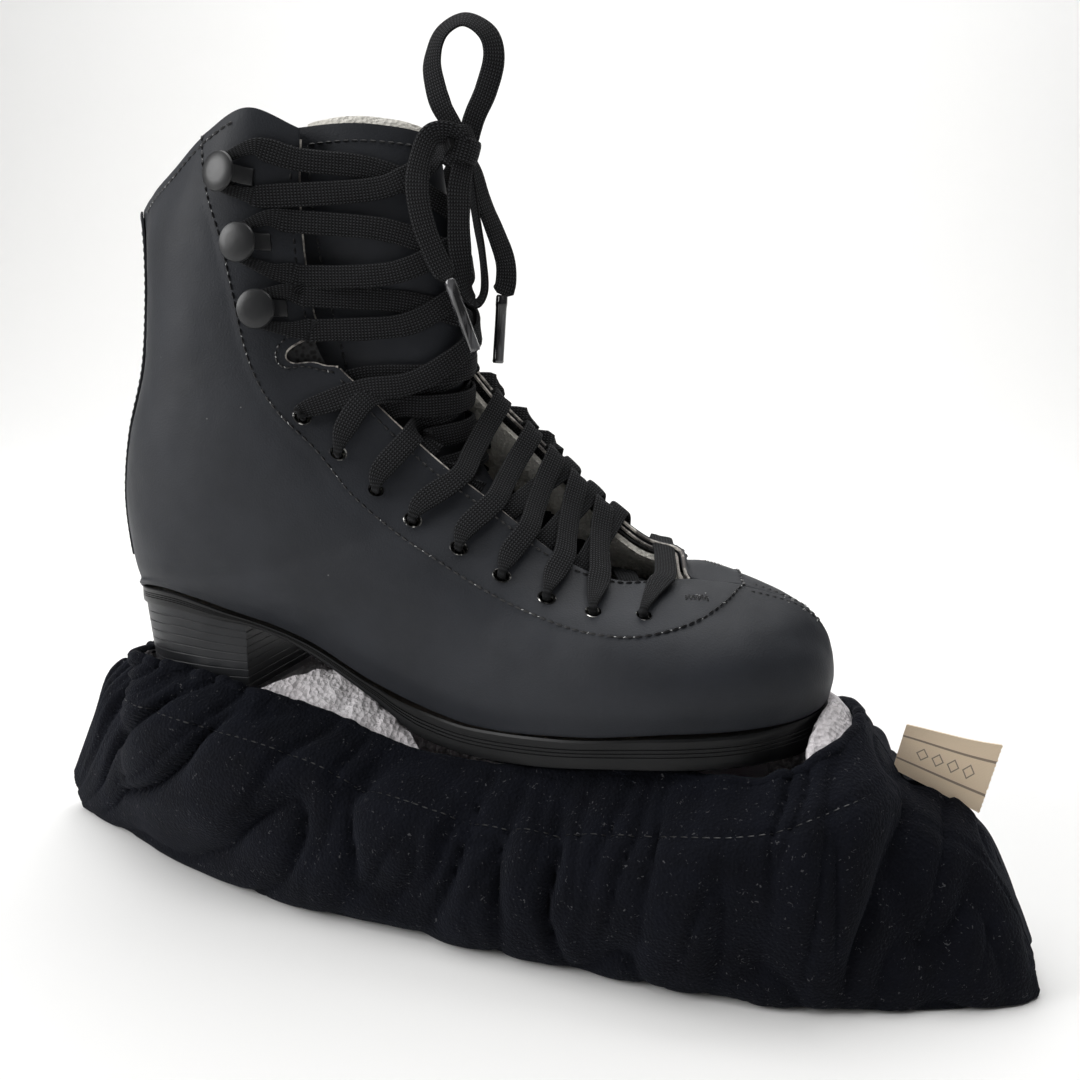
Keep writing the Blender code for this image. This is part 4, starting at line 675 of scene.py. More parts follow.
def cut(obj, points_faces):
    """Cuts closed shapes out of a piece for good."""
    points, faces = points_faces
    mesh = bpy.data.meshes.new("cut")
    mesh.from_pydata([tuple(p) for p in world(points)], [], faces)
    finish_mesh(mesh)
    tool = bpy.data.objects.new("cut", mesh)
    bpy.context.scene.collection.objects.link(tool)
    modifier = obj.modifiers.new("cut", "BOOLEAN")
    modifier.operation = "DIFFERENCE"
    modifier.solver = "EXACT"
    modifier.object = tool
    bpy.context.view_layer.update()
    graph = bpy.context.evaluated_depsgraph_get()
    new = bpy.data.meshes.new_from_object(obj.evaluated_get(graph), depsgraph=graph)
    obj.modifiers.remove(modifier)
    obj.data = new
    bpy.data.objects.remove(tool)
    new.shade_smooth()
    new.set_sharp_from_angle(angle=math.radians(50))


def ring_points(place, normal, radius, sides, height=0.0, squeeze=1.0):
    """A ring round an axis; squeeze narrows it across one way."""
    normal = unit(normal)
    first = unit(np.cross(normal, (0.31, 0.17, 0.93)))
    second = np.cross(normal, first)
    turns = np.linspace(0, 2 * math.pi, sides, endpoint=False)
    return np.array([place + normal * height + (first * math.cos(t) + second * math.sin(t) * squeeze) * radius
                     for t in turns])


def lathe(place, normal, profile, sides=32):
    """A turned body: profile is (radius, height) from the axis out and back."""
    return loft([ring_points(place, normal, max(r, 0.02), sides, h) for r, h in profile])


def joined(shapes):
    """Several (points, faces) as one."""
    points, faces, start = [], [], 0
    for p, f in shapes:
        points.append(np.asarray(p, float))
        faces += [tuple(i + start for i in face) for face in f]
        start += len(p)
    return np.concatenate(points), faces


def tube(route, radius, sides=8, closed=False):
    """(points, faces) of a round cord along a route; radius may be one number or one per point."""
    route = np.asarray(route, float)
    along = np.gradient(route, axis=0)
    if closed:
        along = np.roll(route, -1, axis=0) - np.roll(route, 1, axis=0)
    radius = np.broadcast_to(radius, len(route))
    side = np.cross(along[0], (0.2, 0.3, 0.9))
    sections = []
    turns = np.linspace(0, 2 * math.pi, sides, endpoint=False)
    for place, direction, r in zip(route, along, radius):
        direction = unit(direction)
        side = unit(side - direction * (side @ direction))
        other = np.cross(direction, side)
        sections.append([place + (side * math.cos(t) + other * math.sin(t)) * r for t in turns])
    points, faces = loft([np.array(s) for s in sections])
    if closed:
        faces = faces[:-2]
        a, b = (len(route) - 1) * sides, 0
        faces += [(a + k, a + (k + 1) % sides, b + (k + 1) % sides, b + k) for k in range(sides)]
    return points, faces


def net_of(side):
    return RIGHT_NET if side < 0 else LEFT_NET


def seam_column(row):
    """The column where the eyestay's sewn edge runs, at each row."""
    table = np.array(EYESTAY_SEAM)
    return np.interp(row, table[:, 0], table[:, 1])


def soft_noise(point, scale, seed=0.0):
    x, y, z = (value / scale for value in point)
    return noise.noise(Vector((x + seed, y - seed, z + 2 * seed)))


def upper_grid(side, rows, columns, depth):
    """The upper's surface with its raised eyestay and faint unevenness, at a depth under its face."""
    grid = skin(net_of(side), rows, columns)
    normal = grid_normals(grid) * side
    raised = np.clip((np.asarray(columns)[None, :] - seam_column(np.asarray(rows))[:, None]) / 0.05, 0, 1)
    lift = raised * EYESTAY_RAISE if depth < 1 else raised * 0
    for r in range(len(rows)):
        for c in range(len(columns)):
            p = grid[r, c]
            lift[r, c] += 0.28 * soft_noise(p, 21, 3.1 * side) + 0.12 * soft_noise(p, 7, 1.3)
    moved = grid + normal * (lift - depth)[..., None]
    moved[..., 1] = side * np.maximum(side * moved[..., 1], SEAM_GAP)
    return moved


def stitch(place, along, normal, length, radius):
    """One stitch of thread: a short bead that dips into the leather at both ends."""
    along, normal = unit(along), unit(normal)
    stations = ((-0.5, -0.35, 0.5), (-0.3, 0.1, 1.0), (0.0, 0.22, 1.1), (0.3, 0.1, 1.0), (0.5, -0.35, 0.5))
    across = np.cross(normal, along)
    sections = []
    for share, height, size in stations:
        centre = place + along * length * share + normal * (height * radius + 0.12)
        r = radius * size
        sections.append([centre + across * r, centre + normal * r, centre - across * r, centre - normal * r])
    return loft([np.array(s) for s in sections])


def stitches_on(side, path, pitch=STITCH_PITCH, depth=0.0, count=400):
    """Stitches along a path of (row, column) on one side of the upper."""
    path = curve_through(path, count)
    net = net_of(side)
    spots = np.array([skin(net, [r], [c])[0, 0] for r, c in path])
    travelled = np.concatenate([[0], np.cumsum(np.linalg.norm(np.diff(spots, axis=0), axis=1))])
    shapes = []
    for at in np.arange(pitch / 2, travelled[-1], pitch):
        r, c = (float(np.interp(at, travelled, path[:, k])) for k in (0, 1))
        place, normal, _ = skin_point(net, r, c)
        ahead, behind = (
            skin(net, [float(np.interp(at + d, travelled, path[:, 0]))],
                 [float(np.interp(at + d, travelled, path[:, 1]))])[0, 0] for d in (1, -1)
        )
        lift = EYESTAY_RAISE if c > seam_column(r) else 0.0
        shapes.append(stitch(place + normal * (lift - depth), ahead - behind, normal, pitch * 0.74, THREAD_R))
    return shapes


def lint_on(side, path, pitch=STITCH_PITCH, count=400):
    """Pale flecks caught in some of the needle holes along a path of (row, column)."""
    path = curve_through(path, count)
    net = net_of(side)
    spots = np.array([skin(net, [r], [c])[0, 0] for r, c in path])
    travelled = np.concatenate([[0], np.cumsum(np.linalg.norm(np.diff(spots, axis=0), axis=1))])
    shapes = []
    for index, at in enumerate(np.arange(pitch, travelled[-1], pitch)):
        if noise.noise(Vector((index * 0.23, side * 3.0, 5.0))) + 0.6 * fleck_share(index, 2.0) < 0.38:
            continue
        r, c = (float(np.interp(at, travelled, path[:, k])) for k in (0, 1))
        place, normal, along = skin_point(net, r, c)
        lift = EYESTAY_RAISE if c > seam_column(r) else 0.0
        turned = along + np.cross(normal, along) * noise.noise(Vector((index * 2.3, 1.0, 4.0))) * 2
        length = 0.35 + 0.8 * fleck_share(index, 7.0)
        shapes.append(stitch(place + normal * lift, turned, normal, length, FLECK_R))
    return shapes


def make_uppers(looks):
    rows = np.linspace(0, ROW_LAST, 217)
    columns = np.concatenate([np.linspace(0, 2.6, 34)[:-1], np.linspace(2.6, 5, 49)])
    for side, name in ((-1, "right"), (1, "left")):
        outer = upper_grid(side, rows, columns, 0)
        inner = upper_grid(side, rows, columns, UPPER_THICK)
        obj = slab_piece(f"upper_{name}_leather", outer, inner, looks["leather"], "boot", "black_leather",
                         [f"upper_{name}"])
        holes = []
        for row, column in eyelet_places(side):
            place, normal, _ = skin_point(net_of(side), row, column)
            holes.append(loft([ring_points(place, normal, EYELET_HOLE_R + 0.35, 20, h, 0.8)
                               for h in (-4.0, 4.0)]))
        cut(obj, joined(holes))
        cut(obj, notch_block(side))


def make_eyelets(looks):
    """The facing strip under each flap and the worn metal rims of its eyelets."""
    rows = np.linspace(0.3, 14.3, 160)
    columns = np.linspace(3.7, 4.9, 14)
    for side, name in ((-1, "right"), (1, "left")):
        grid = skin(net_of(side), rows, columns)
        normal = grid_normals(grid) * side
        obj = slab_piece(f"facing_{name}_strip", grid - normal * STIFFENER_DEPTH,
                         grid - normal * (STIFFENER_DEPTH + STIFFENER_THICK), looks["lining_dark"], "boot",
                         "black_leather", [f"facing_{name}"])
        holes = []
        rims = []
        for row, column in eyelet_places(side):
            place, normal_at, _ = skin_point(net_of(side), row, column)
            ends = [ring_points(place, normal_at, EYELET_HOLE_R, 14, height, 0.8) for height in (-7.0, 4.0)]
            holes.append(loft(ends))
            r = EYELET_HOLE_R + 0.1
            rings = [ring_points(place, normal_at, radius, 28, height, 0.8) for radius, height in
                     ((r, -1.6), (r, -0.2), (r + 0.15, 0.38), (r + 0.5, 0.5), (r + 0.75, 0.34),
                      (r + 0.55, 0.1), (r + 0.5, -1.6))]
            points, faces = loft(rings)
            faces = faces[:-2]
            last = (len(rings) - 1) * 28
            faces += [(last + k, last + (k + 1) % 28, (k + 1) % 28, k) for k in range(28)]
            rims.append((points, faces))
        cut(obj, joined(holes))
        piece(f"eyelet_rims_{name}", *joined(rims), looks["eyelet"], "boot", "black_hook")


def notch_block(side):
    """A block that cuts the ankle notch through every layer."""
    sections = []
    outline = curve_through(ANKLE_NOTCH, 33)
    for depth in (-12, -6, 0, 5):
        ring = []
        for row, column in outline:
            place, normal, _ = skin_point(side_net(side), row, min(column, COLUMN_LAST))
            beyond = unit(place - skin_point(side_net(side), row, COLUMN_LAST - 0.4)[0])
            ring.append(place + beyond * max(0.0, column - COLUMN_LAST) * NOTCH_REACH + normal * depth)
        sections.append(ring[::side])
    return loft([np.array(ring) for ring in sections])


def edge_route(side, path, depth):
    """Points along a (row, column) path at a depth under the upper's face."""
    route = []
    for row, column in path:
        place, normal, _ = skin_point(net_of(side), row, min(column, COLUMN_LAST))
        route.append(place - normal * depth)
    return np.array(route)


def make_edges(looks):
    """The pale raw edge of each flap and the piping round the ankle notch."""
    notch = [(r, c) for r, c in curve_through(ANKLE_NOTCH, 33) if c < 5.02]
    for side, name in ((-1, "right"), (1, "left")):
        edges = []
        for low, high in ((0.15, 2.5), (3.34, 14.9)):
            rows = np.linspace(low, high, int((high - low) * 9) + 6)
            for depth in ((1.25,) if side < 0 else (0.9, 3.2)):
                edges.append(tube(edge_route(side, [(r, 5.0) for r in rows], depth), 0.62, 6))
        piece(f"flap_edge_{name}", *joined(edges), looks["raw_edge"], "boot", "cream_lining")
        pipes = [tube(edge_route(side, notch, depth), radius, 8) for depth, radius in NOTCH_PIPES]
        piece(f"notch_piping_{name}", *joined(pipes), looks["raw_edge"], "boot", "cream_lining")


def fleck_share(index, seed):
    """A settled random share between 0 and 1."""
    return min(1.0, max(0.0, 0.5 + 0.9 * noise.noise(Vector((index * 3.71, seed, 0.37 * index)))))


def make_stitching(looks):
    notch = [(r, c) for r, c in ANKLE_NOTCH if c <= 5.0]
    for side, name in ((-1, "right"), (1, "left")):
        shapes = []
        shapes += stitches_on(side, [(r, c + 0.07) for r, c in EYESTAY_SEAM[:-1]])
        shapes += stitches_on(side, [(0.24, 0.75), (0.22, 1.2), (0.2, 2.0), (0.15, 3.0), (0.13, 3.8)])
        shapes += stitches_on(side, [(r, 4.86) for r in (0.25, 0.9, 1.6, 2.35)])
        shapes += stitches_on(side, [(r, 4.9) for r in (3.6, 4.6, 6, 8, 10, 12, 13.4, 14.4)])
        ring = [(r + (r - 2.98) * 0.34, c - 0.12 if c < 4.9 else c - 0.1) for r, c in notch]
        shapes += stitches_on(side, ring, pitch=2.4)
        tack = []
        for k in range(12):
            tack.append((14.95 + 0.035 * k, 4.02 if k % 2 else 4.2))
        shapes += stitches_on(side, tack, pitch=1.2, depth=0.3)
        shapes += stitches_on(side, [(r, 4.72) for r in (16.05, 16.5, 17, 17.4, 17.7)], pitch=2.4, depth=0.2)
        piece(f"stitching_{name}", *joined(shapes), looks["thread"], "boot", "black_leather")
        flecks = lint_on(side, [(r, c + 0.07) for r, c in EYESTAY_SEAM[:-1]])
        flecks += lint_on(side, [(0.24, 0.75), (0.22, 1.2), (0.2, 2.0), (0.15, 3.0), (0.13, 3.8)])
        flecks += lint_on(side, ring, pitch=2.4)
        for k in range(16):
            if k < 9:
                row, column = 16.7 + 0.9 * fleck_share(k, 1.0), 4.4 + 0.5 * fleck_share(k, 5.0)
            else:
                row, column = 14.9 + 0.5 * fleck_share(k, 1.0), 3.95 + 0.4 * fleck_share(k, 5.0)
            place, normal, along = skin_point(net_of(side), row, column)
            size = 0.4 + 0.8 * fleck_share(k, 9.0) ** 2
            turned = along + np.cross(normal, along) * 2 * fleck_share(k, 12.0)
            flecks.append(stitch(place + normal * 0.15, turned, normal, size, 0.14))
        piece(f"lint_{name}", *joined(flecks), looks["lint"], "boot", "cream_lining")


def make_back_stay(looks):
    rows = np.linspace(0.1, 6.1, 60)
    strips = []
    for side in (-1, 1):
        grid = skin(net_of(side), rows, np.linspace(0, 0.5, 9))
        strips.append(grid)
    outline = np.concatenate([strips[0][:, ::-1], strips[1][:, 1:]], axis=1)
    normal = grid_normals(outline)
    normal *= np.sign(-normal[..., :1].mean())
    slab_piece("back_stay_leather", outline + normal * 1.3, outline + normal * 0.35, looks["leather"], "boot",
               "black_leather", ["back_stay"])
    shapes = []
    for side in (-1, 1):
        shapes += stitches_on(side, [(r, 0.42) for r in (0.5, 2, 4, 5.9)], depth=-0.95)
    piece("back_stay_stitching", *joined(shapes), looks["thread"], "boot", "black_leather")


def make_linings(looks):
    rows = np.linspace(0.02, 17.3, 150)
    columns = np.linspace(0, 4.95, 44)
    for side, name in ((-1, "right"), (1, "left")):
        grid = skin(net_of(side), rows, columns)
        normal = grid_normals(grid) * side
        fluff = np.zeros(grid.shape[:2])
        for r in range(grid.shape[0]):
            for c in range(grid.shape[1]):
                fluff[r, c] = 0.55 * soft_noise(grid[r, c], 4.5, 2.0) + 0.5 * soft_noise(grid[r, c], 11, 5.0)
        outer = grid - normal * (LINING_DEPTH - 0.3)
        inner = grid - normal * (LINING_DEPTH + LINING_THICK + fluff)[..., None]
        for sheet in (outer, inner):
            sheet[..., 1] = side * np.maximum(side * sheet[..., 1], SEAM_GAP)
        obj = slab_piece(f"lining_{name}_fleece", outer, inner, looks["lining"], "boot", "cream_lining",
                         [f"lining_{name}"])
        cut(obj, notch_block(side))
        collar_rows = [(0.1, c) for c in np.linspace(0.05, 4.9, 60)]
        roll = tube(edge_route(side, collar_rows, 3.9), 1.9 + 0.15 * np.sin(np.arange(60) * 1.9), 10)
        piece(f"collar_roll_{name}", *roll, looks["lining"], "boot", "cream_lining")


def tongue_sheet(rows, columns, depth, fluff=0.0):
    grid = skin(tongue_net(), rows, columns)
    normal = grid_normals(grid)
    normal *= np.sign(normal[..., 0].mean())
    lift = np.array([[fluff * soft_noise(p, 5.0, 4.0) + 0.3 * soft_noise(p, 17, 1.0) for p in row]
                     for row in grid])
    return grid + normal * (lift - depth)[..., None]


def make_tongue(looks):
    last = len(TONGUE_ROWS) - 1
    rows, columns = np.linspace(0, last - 0.04, 110), np.linspace(0, 6, 48)
    slab_piece("tongue_leather", tongue_sheet(rows, columns, 0), tongue_sheet(rows, columns, TONGUE_THICK),
               looks["leather"], "tongue", "black_leather", ["tongue"])
    rows, columns = np.linspace(0.6, last, 110), np.linspace(0.3, 5.7, 48)
    front = tongue_sheet(rows, columns, TONGUE_PAD_DEPTH - 0.2)
    back = tongue_sheet(rows, columns, TONGUE_PAD_DEPTH + TONGUE_PAD_THICK, 0.8)
    rise = np.clip((rows - (last - 0.35)) / 0.35, 0, 1)[:, None, None] * np.array((-1.2, 0, 2.4))
    crown = np.sin(np.linspace(0, math.pi, len(columns)))[None, :, None] ** 0.5
    pad = slab_piece("tongue_fleece", front + rise * crown, back + rise * crown, looks["lining"], "tongue",
                     "cream_lining", ["tongue_padding"], share=0.75)
    net = tongue_net()
    shapes = []
    for path in ([(last - 0.22, c) for c in np.linspace(0.35, 5.65, 60)],
                 [(r, 0.35) for r in np.linspace(2.5, last - 0.22, 90)],
                 [(r, 5.65) for r in np.linspace(2.5, last - 0.22, 90)]):
        spots = np.array([skin(net, [r], [c])[0, 0] for r, c in path])
        travelled = np.concatenate([[0], np.cumsum(np.linalg.norm(np.diff(spots, axis=0), axis=1))])
        for at in np.arange(1.5, travelled[-1], STITCH_PITCH):
            place = np.array([np.interp(at, travelled, spots[:, k]) for k in range(3)])
            ahead = np.array([np.interp(at + 1, travelled, spots[:, k]) for k in range(3)])
            shapes.append(stitch(place + tongue_way(place) * 0.1, ahead - place + 1e-6, tongue_way(place),
                                 STITCH_PITCH * 0.72, THREAD_R))
    piece("tongue_stitching", *joined(shapes), looks["thread"], "tongue", "black_leather")


def make_hooks(looks):
    """Each lace hook: its domed disc, the bent neck beside it, and its riveted foot."""
    for side, name in ((-1, "right"), (1, "left")):
        for index, (row, column) in enumerate(hook_places(side), 1):
            place, normal, along = skin_point(net_of(side), row, column)
            front = np.cross(along, normal)
            if (skin(net_of(side), [row], [column + 0.2])[0, 0] - place) @ front < 0:
                front = -front
            low, high = HOOK_STAND, HOOK_STAND + HOOK_DISC_THICK
            r = HOOK_DISC_R
            tilted = unit(normal - front * HOOK_TILT)
            profile = (
                (0.02, low), (r - 0.7, low), (r - 0.1, low + 0.45), (r, low + 0.8),
                (r - 0.35, high - 0.2), (r - 1.2, high + 0.15), (r * 0.5, high + 0.5), (0.02, high + 0.6),
            )
            disc = lathe(place + (normal - tilted) * low, tilted, profile, 40)
            neck = []
            bends = ((r + 4.6, 0.5), (r + 3.2, 1.0), (r + 1.4, 2.2), (r + 0.1, 4.3), (r - 1.6, low + 1.3))
            for reach, height in bends:
                centre = place + front * reach * 0.86 + normal * height
                neck.append([centre + normal * a + along * b for a, b in
                             ((-0.8, -2.7), (0.6, -2.7), (0.8, -2.3), (0.8, 2.3), (0.6, 2.7), (-0.8, 2.7))])
            foot = lathe(place, normal, ((0.02, 0.3), (3.8, 0.3), (3.9, 0.8), (3.3, 1.1), (0.02, 1.2)), 24)
            parts = joined([disc, loft([np.array(s) for s in neck]), foot])
            piece(f"hook_{name}_{index}_metal", *parts, looks["hook"], "boot", "black_hook",
                  [f"hook_{name}_{index}"], angle=35)


# ---------------------------------------------------------------------------------------------
# Laces

def ribbon_shape(steps, per_step, wave=0.0):
    """A knitted flat cord through stations, with its length and width as UVs, and its centre line."""
    widths = [np.asarray(steps[0][1], float)]
    for _, direction, _ in steps[1:]:
        direction = np.asarray(direction, float)
        widths.append(direction if direction @ widths[-1] >= 0 else -direction)
    t = np.linspace(0, len(steps) - 1, int((len(steps) - 1) * per_step) + 1)
    line, turned, size = (catmull(open_ends(v), t) for v in
                          ([p for p, _, _ in steps], widths, [w for _, _, w in steps]))
    lifts = np.array([
        max(tongue_lift(place + unit(across) * width * share, 1.1) for share in (-0.45, 0, 0.45))
        for place, across, (width, _) in zip(line, turned, size)
    ])
    for _ in range(6):
        padded = np.pad(lifts, 1, mode="edge")
        lifts = np.maximum(lifts, (padded[:-2] + padded[2:]) / 2 * 0.97)
    line = np.array([place + tongue_way(place) * lift if lift > 0 else place
                     for place, lift in zip(line, lifts)])
    length = np.concatenate([[0], np.cumsum(np.linalg.norm(np.diff(line, axis=0), axis=1))])
    profile = [(math.cos(a), math.sin(a)) for a in np.linspace(0, 2 * math.pi, 16, endpoint=False)]
    profile = [(np.sign(x) * abs(x) ** 0.55, np.sign(y) * abs(y) ** 0.8) for x, y in profile]
    sections, uv = [], []
    for k, (place, along, across, (width, thick)) in enumerate(
            zip(line, np.gradient(line, axis=0), turned, size)):
        across = unit(across - unit(along) * (across @ unit(along)))
        out = np.cross(unit(along), across)
        width, thick = max(width, LACE_PINCH_WIDTH) / 2, max(thick, LACE_THICK) / 2
        width *= 1 + 0.05 * noise.noise(Vector((length[k] / 9, 0.0, wave)))
        curl = 0.5 * noise.noise(Vector((length[k] / 14, 3.0, wave)))
        sections.append([
            place + across * width * a + out * (thick * b + curl * (a * a - 0.4)) for a, b in profile
        ])
        uv += [(length[k] * MM * 10, (a + 1) / 2) for a, b in profile]
    points, faces = loft([np.array(s) for s in sections])
    return points, faces, uv, line


def make_lacing(looks):
    for index, (start, lift) in enumerate(((-1, 1.3), (1, -1.3))):
        runs = lace_path(start, lift, start > 0)
        shapes = [ribbon_shape(run, 7, 5.0 * index + k) for k, run in enumerate(runs)]
        points, faces = joined([shape[:2] for shape in shapes])
        uv = np.concatenate([np.array(shape[2]) for shape in shapes])
        piece(f"lace_run_{index + 1}", points, faces, looks["lace"], "boot", "black_lace", ["lacing"], uv=uv,
              angle=60)


def bow_steps(name, size):
    """Stations of one loop or end of the bow: its route, how far its width turns, and its width."""
    route = curve_through(BOW_LAY[name], 3 * len(BOW_LAY[name]))
    tilts = np.interp(np.linspace(0, 1, len(route)), np.linspace(0, 1, len(BOW_TILTS[name])), BOW_TILTS[name])
    along = np.gradient(route, axis=0)
    steps = []
    for place, direction, tilt in zip(route, along, tilts):
        direction = unit(direction)
        depth = unit(np.array(AWAY) - direction * (np.array(AWAY) @ direction))
        flat = np.cross(direction, depth)
        turn = math.radians(tilt)
        steps.append((place, flat * math.cos(turn) + depth * math.sin(turn), size))
    return steps


def make_bow(looks):
    knot_at = np.array(KNOT_AT)
    for name, (start, end) in AGLET_LAY.items():
        start, end = np.array(start), np.array(end)
        along = unit(end - start)
        length = float(np.linalg.norm(end - start))
        profile = ((0.02, -0.4), (1.7, -0.4), (2.05, 0.3), (2.1, 3), (1.95, 4), (1.95, length - 1.2),
                   (2.05, length - 0.6), (1.8, length), (1.2, length - 0.3), (0.02, length - 0.9))
        piece(f"{name}_tip", *lathe(start, along, profile, 24), looks["aglet"], "boot",
                           "smoked_aglet", [name], angle=40)
    for name in BOW_LAY:
        tapered = bow_steps(name, FLAT)
        pinch = (LACE_WIDTH * 0.5, LACE_THICK * 1.7)
        tapered[0] = (*tapered[0][:2], pinch)
        tapered[-1] = (*tapered[-1][:2], pinch)
        points, faces, uv, line = ribbon_shape(tapered, 4, 9.0 + len(name))
        obj = piece(f"{name}_cord", points, faces, looks["lace"], "boot", "black_lace", [name], uv=uv,
                    angle=60)
        length = float(np.linalg.norm(np.diff(line, axis=0), axis=1).sum()) * MM
    wraps = []
    for turn, (radius, height, tip, width) in enumerate(KNOT_WRAPS):
        normal = unit(tip)
        first = unit(np.cross(normal, (0.3, 0.9, 0.2)))
        second = np.cross(normal, first)
        steps = []
        for a in np.linspace(0, 2 * math.pi * 0.94, 15):
            radial = first * math.cos(a) * KNOT_SIZE[0] / 5.5 + second * math.sin(a)
            steps.append((knot_at + normal * height + radial * radius, normal, (width, 2.0)))
        points, faces, uv, _ = ribbon_shape(steps, 3, 20.0 + turn)
        wraps.append((points, faces, uv))
    points, faces = joined([(p, f) for p, f, _ in wraps])
    piece("bow_knot_wraps", points, faces, looks["lace"], "boot", "black_lace", ["bow_knot"],
          uv=np.concatenate([np.array(u) for _, _, u in wraps]), angle=60)


# ---------------------------------------------------------------------------------------------
# Sole, heel and cover

def sole_ring(x, half, low, high, profile):
    """One section across the sole: profile is (inset, share of height) up one side."""
    right = [(x, -(half - inset), low + (high - low) * share) for inset, share in profile]
    left = [(x, half - inset, low + (high - low) * share) for inset, share in reversed(profile)]
    return np.array(right + left)


def make_sole(looks):
    line = outline_points(170)
    x, half = line[:, 0], np.maximum(line[:, 1], 0.4)
    low, high = sole_bottom(x), sole_top(x)
    profile = [(1.2, 0.0), (0.35, 0.05), (0.1, 0.16), (0.05, 0.30)]
    for middle in (0.46, 0.58, 0.70):
        groove = ((0.0, -0.03), (GROOVE_DEPTH, -0.012), (GROOVE_DEPTH, 0.012), (0.0, 0.03))
        profile += [(inset, middle + share) for inset, share in groove]
    profile += [(-0.1, 0.82), (-0.1, 0.93), (0.35, 1.0)]
    rings = []
    for xi, w, b, t in zip(x, half, low, high):
        scale = min(1.0, w / 6)
        rings.append(sole_ring(xi, w, b, t, [(inset * scale, share) for inset, share in profile]))
    piece("outsole_edge", *loft(rings), looks["sole"], "boot", "black_sole", ["outsole"], angle=28)

    line = outline_points(150, 0.8, 3.0, HEEL_BREAST_X)
    outline = [(px, -w) for px, w in line] + [(px, w) for px, w in line[::-1]]
    outline = np.array(outline)
    levels = []
    lifts = 9
    for k in range(lifts):
        a, b = k / lifts, (k + 1) / lifts
        levels += [(a + 0.006, 0.0), (b - 0.018, 0.0), (b - 0.010, 0.2), (b - 0.002, 0.2)]
    levels = [(0.0, 0.5)] + levels[:-2] + [(1.0, 0.0)]
    middle = np.array((30.0, 0.0))
    rings = []
    for share, inset in levels:
        taper = 1 - 0.05 * (1 - share)
        ring = []
        for px, w in outline:
            out = np.array((px, w)) - middle
            length = max(np.linalg.norm(out), 1e-6)
            px2, w2 = middle + out * (1 - inset / length)
            lean = 4.5 * (1 - (px - 3.0) / (HEEL_BREAST_X - 3.0)) * (1 - share)
            bottom, top = float(heel_bottom(px)), float(sole_bottom(px)[0]) + 0.4
            ring.append((px2 + lean, w2 * taper, bottom + (top - bottom) * share))
        rings.append(np.array(ring))
    piece("heel_stack", *loft(rings), looks["heel"], "boot", "black_sole", ["heel_block"], angle=28)


def crease(along, down, seed):
    """A gathered fold's height, 0 in its sharp creases and near 1 on its round backs."""
    return 1 - math.exp(-7.5 * abs(noise.noise(Vector((along, down, seed)))))


def fold_height(x, column, side):
    """How far the gathered cover stands out at x, from its rim (column 0) down to its belly."""
    shift = x + FOLD_LEAN * math.exp(-max(x, 0) / 85) * column
    near_rim = math.exp(-((column / 1.0) ** 2))
    belly = min(1.0, max(0.0, (column - 0.25) / 0.8)) * min(1.0, max(0.25, (3.0 - column) / 1.2))
    wander = 2.5 * noise.noise(Vector((x / 18, column * 1.3, 4.0)))
    fine = crease((shift + wander) / 12.0, column * 0.4, 7.0 * side) - 0.55
    broad = crease((shift + wander) / 22.0, column * 0.35, 3.0 + 5.0 * side) - 0.6
    slow = noise.noise(Vector((x / 42.0, column * 0.7, 11.0 * side)))
    hem = 1.2 * min(1.0, max(0.0, column - 2.0))
    return 3.4 * fine * near_rim + (8.0 * broad + 2.5 * slow + 1.8 * fine) * belly - hem


def cover_layer(rows, columns, depth, rise=0.0):
    """A layer of the cover with its folds; rise 1 lifts its rim as the terry's is, 0 leaves it."""
    halves = []
    base = skin(cover_net(), rows, columns)
    base_normal = grid_normals(base)
    base_normal *= np.sign((base_normal * (base - (144, 0, 40)))[..., 1].mean())
    for side in (-1, 1):
        moved = np.empty_like(base)
        for r in range(len(rows)):
            rim_x, rim_z = base[r, 0, 0], base[r, 0, 2]
            snug = float(np.interp(rim_x, (118, 135, 238, 250), (0, 1, 1, 0)))
            lift = max(0.0, float(sole_bottom(rim_x)[0]) - 2.0 - rim_z) * snug if 60 < rim_x < 255 else 0.0
            hug = float(np.interp(rim_x, (0, 8, 48, 66), (0, 0.13, 0.13, 0))) if rows[r] < 9 else 0.0
            at_toe = rim_x > 200
            shown = float(np.interp(rim_x, *zip(*TERRY_RISE))) * (side < 0 or at_toe)
            show = shown * rise
            for c, column in enumerate(columns):
                point, normal = base[r, c].copy(), base_normal[r, c]
                ends = np.clip(min(rows[r] - 0.6, 21.6 - rows[r]) / 2.4, 0.15, 1)
                fade = max(0.0, 1 - column / 0.9) ** 1.5
                quiet = (1 - 0.75 * snug * fade) * (1 - 0.8 * min(1.0, shown / 4) * fade)
                height = fold_height(point[0], column, side) * ends * quiet
                casing = -0.9 * math.exp(-((column - CASING_COLUMN) / 0.05) ** 2) if rows[r] > 3 else 0
                point += normal * (height + casing - depth)
                point[1] *= 1 - hug * fade
                inward = show * 1.05 * fade + 3.6 * min(1.0, show / 3) * max(0.0, 1 - column / 1.6) ** 0.6
                point += (-0.7 * inward, 0.3 * inward, 0) if at_toe else (0, inward, 0)
                point[2] += (lift + show) * fade
                if column < 0.6:
                    wave = 1.3 * noise.noise(Vector((point[0] / 6.0, 9.0, side * 4.0)))
                    point[2] += wave * (1 - column / 0.6) * ends * (1 - snug)
                moved[r, c] = point
        moved[..., 2] = np.maximum(moved[..., 2], depth)
        moved[:, :-1, 1] = np.minimum(moved[:, :-1, 1], -SEAM_GAP)
        moved[:, -1, 1] = 0
        halves.append(moved * (1, -side, 1))
    near, far = halves
    return leaned(np.concatenate([near, far[:, -2::-1]], axis=1))


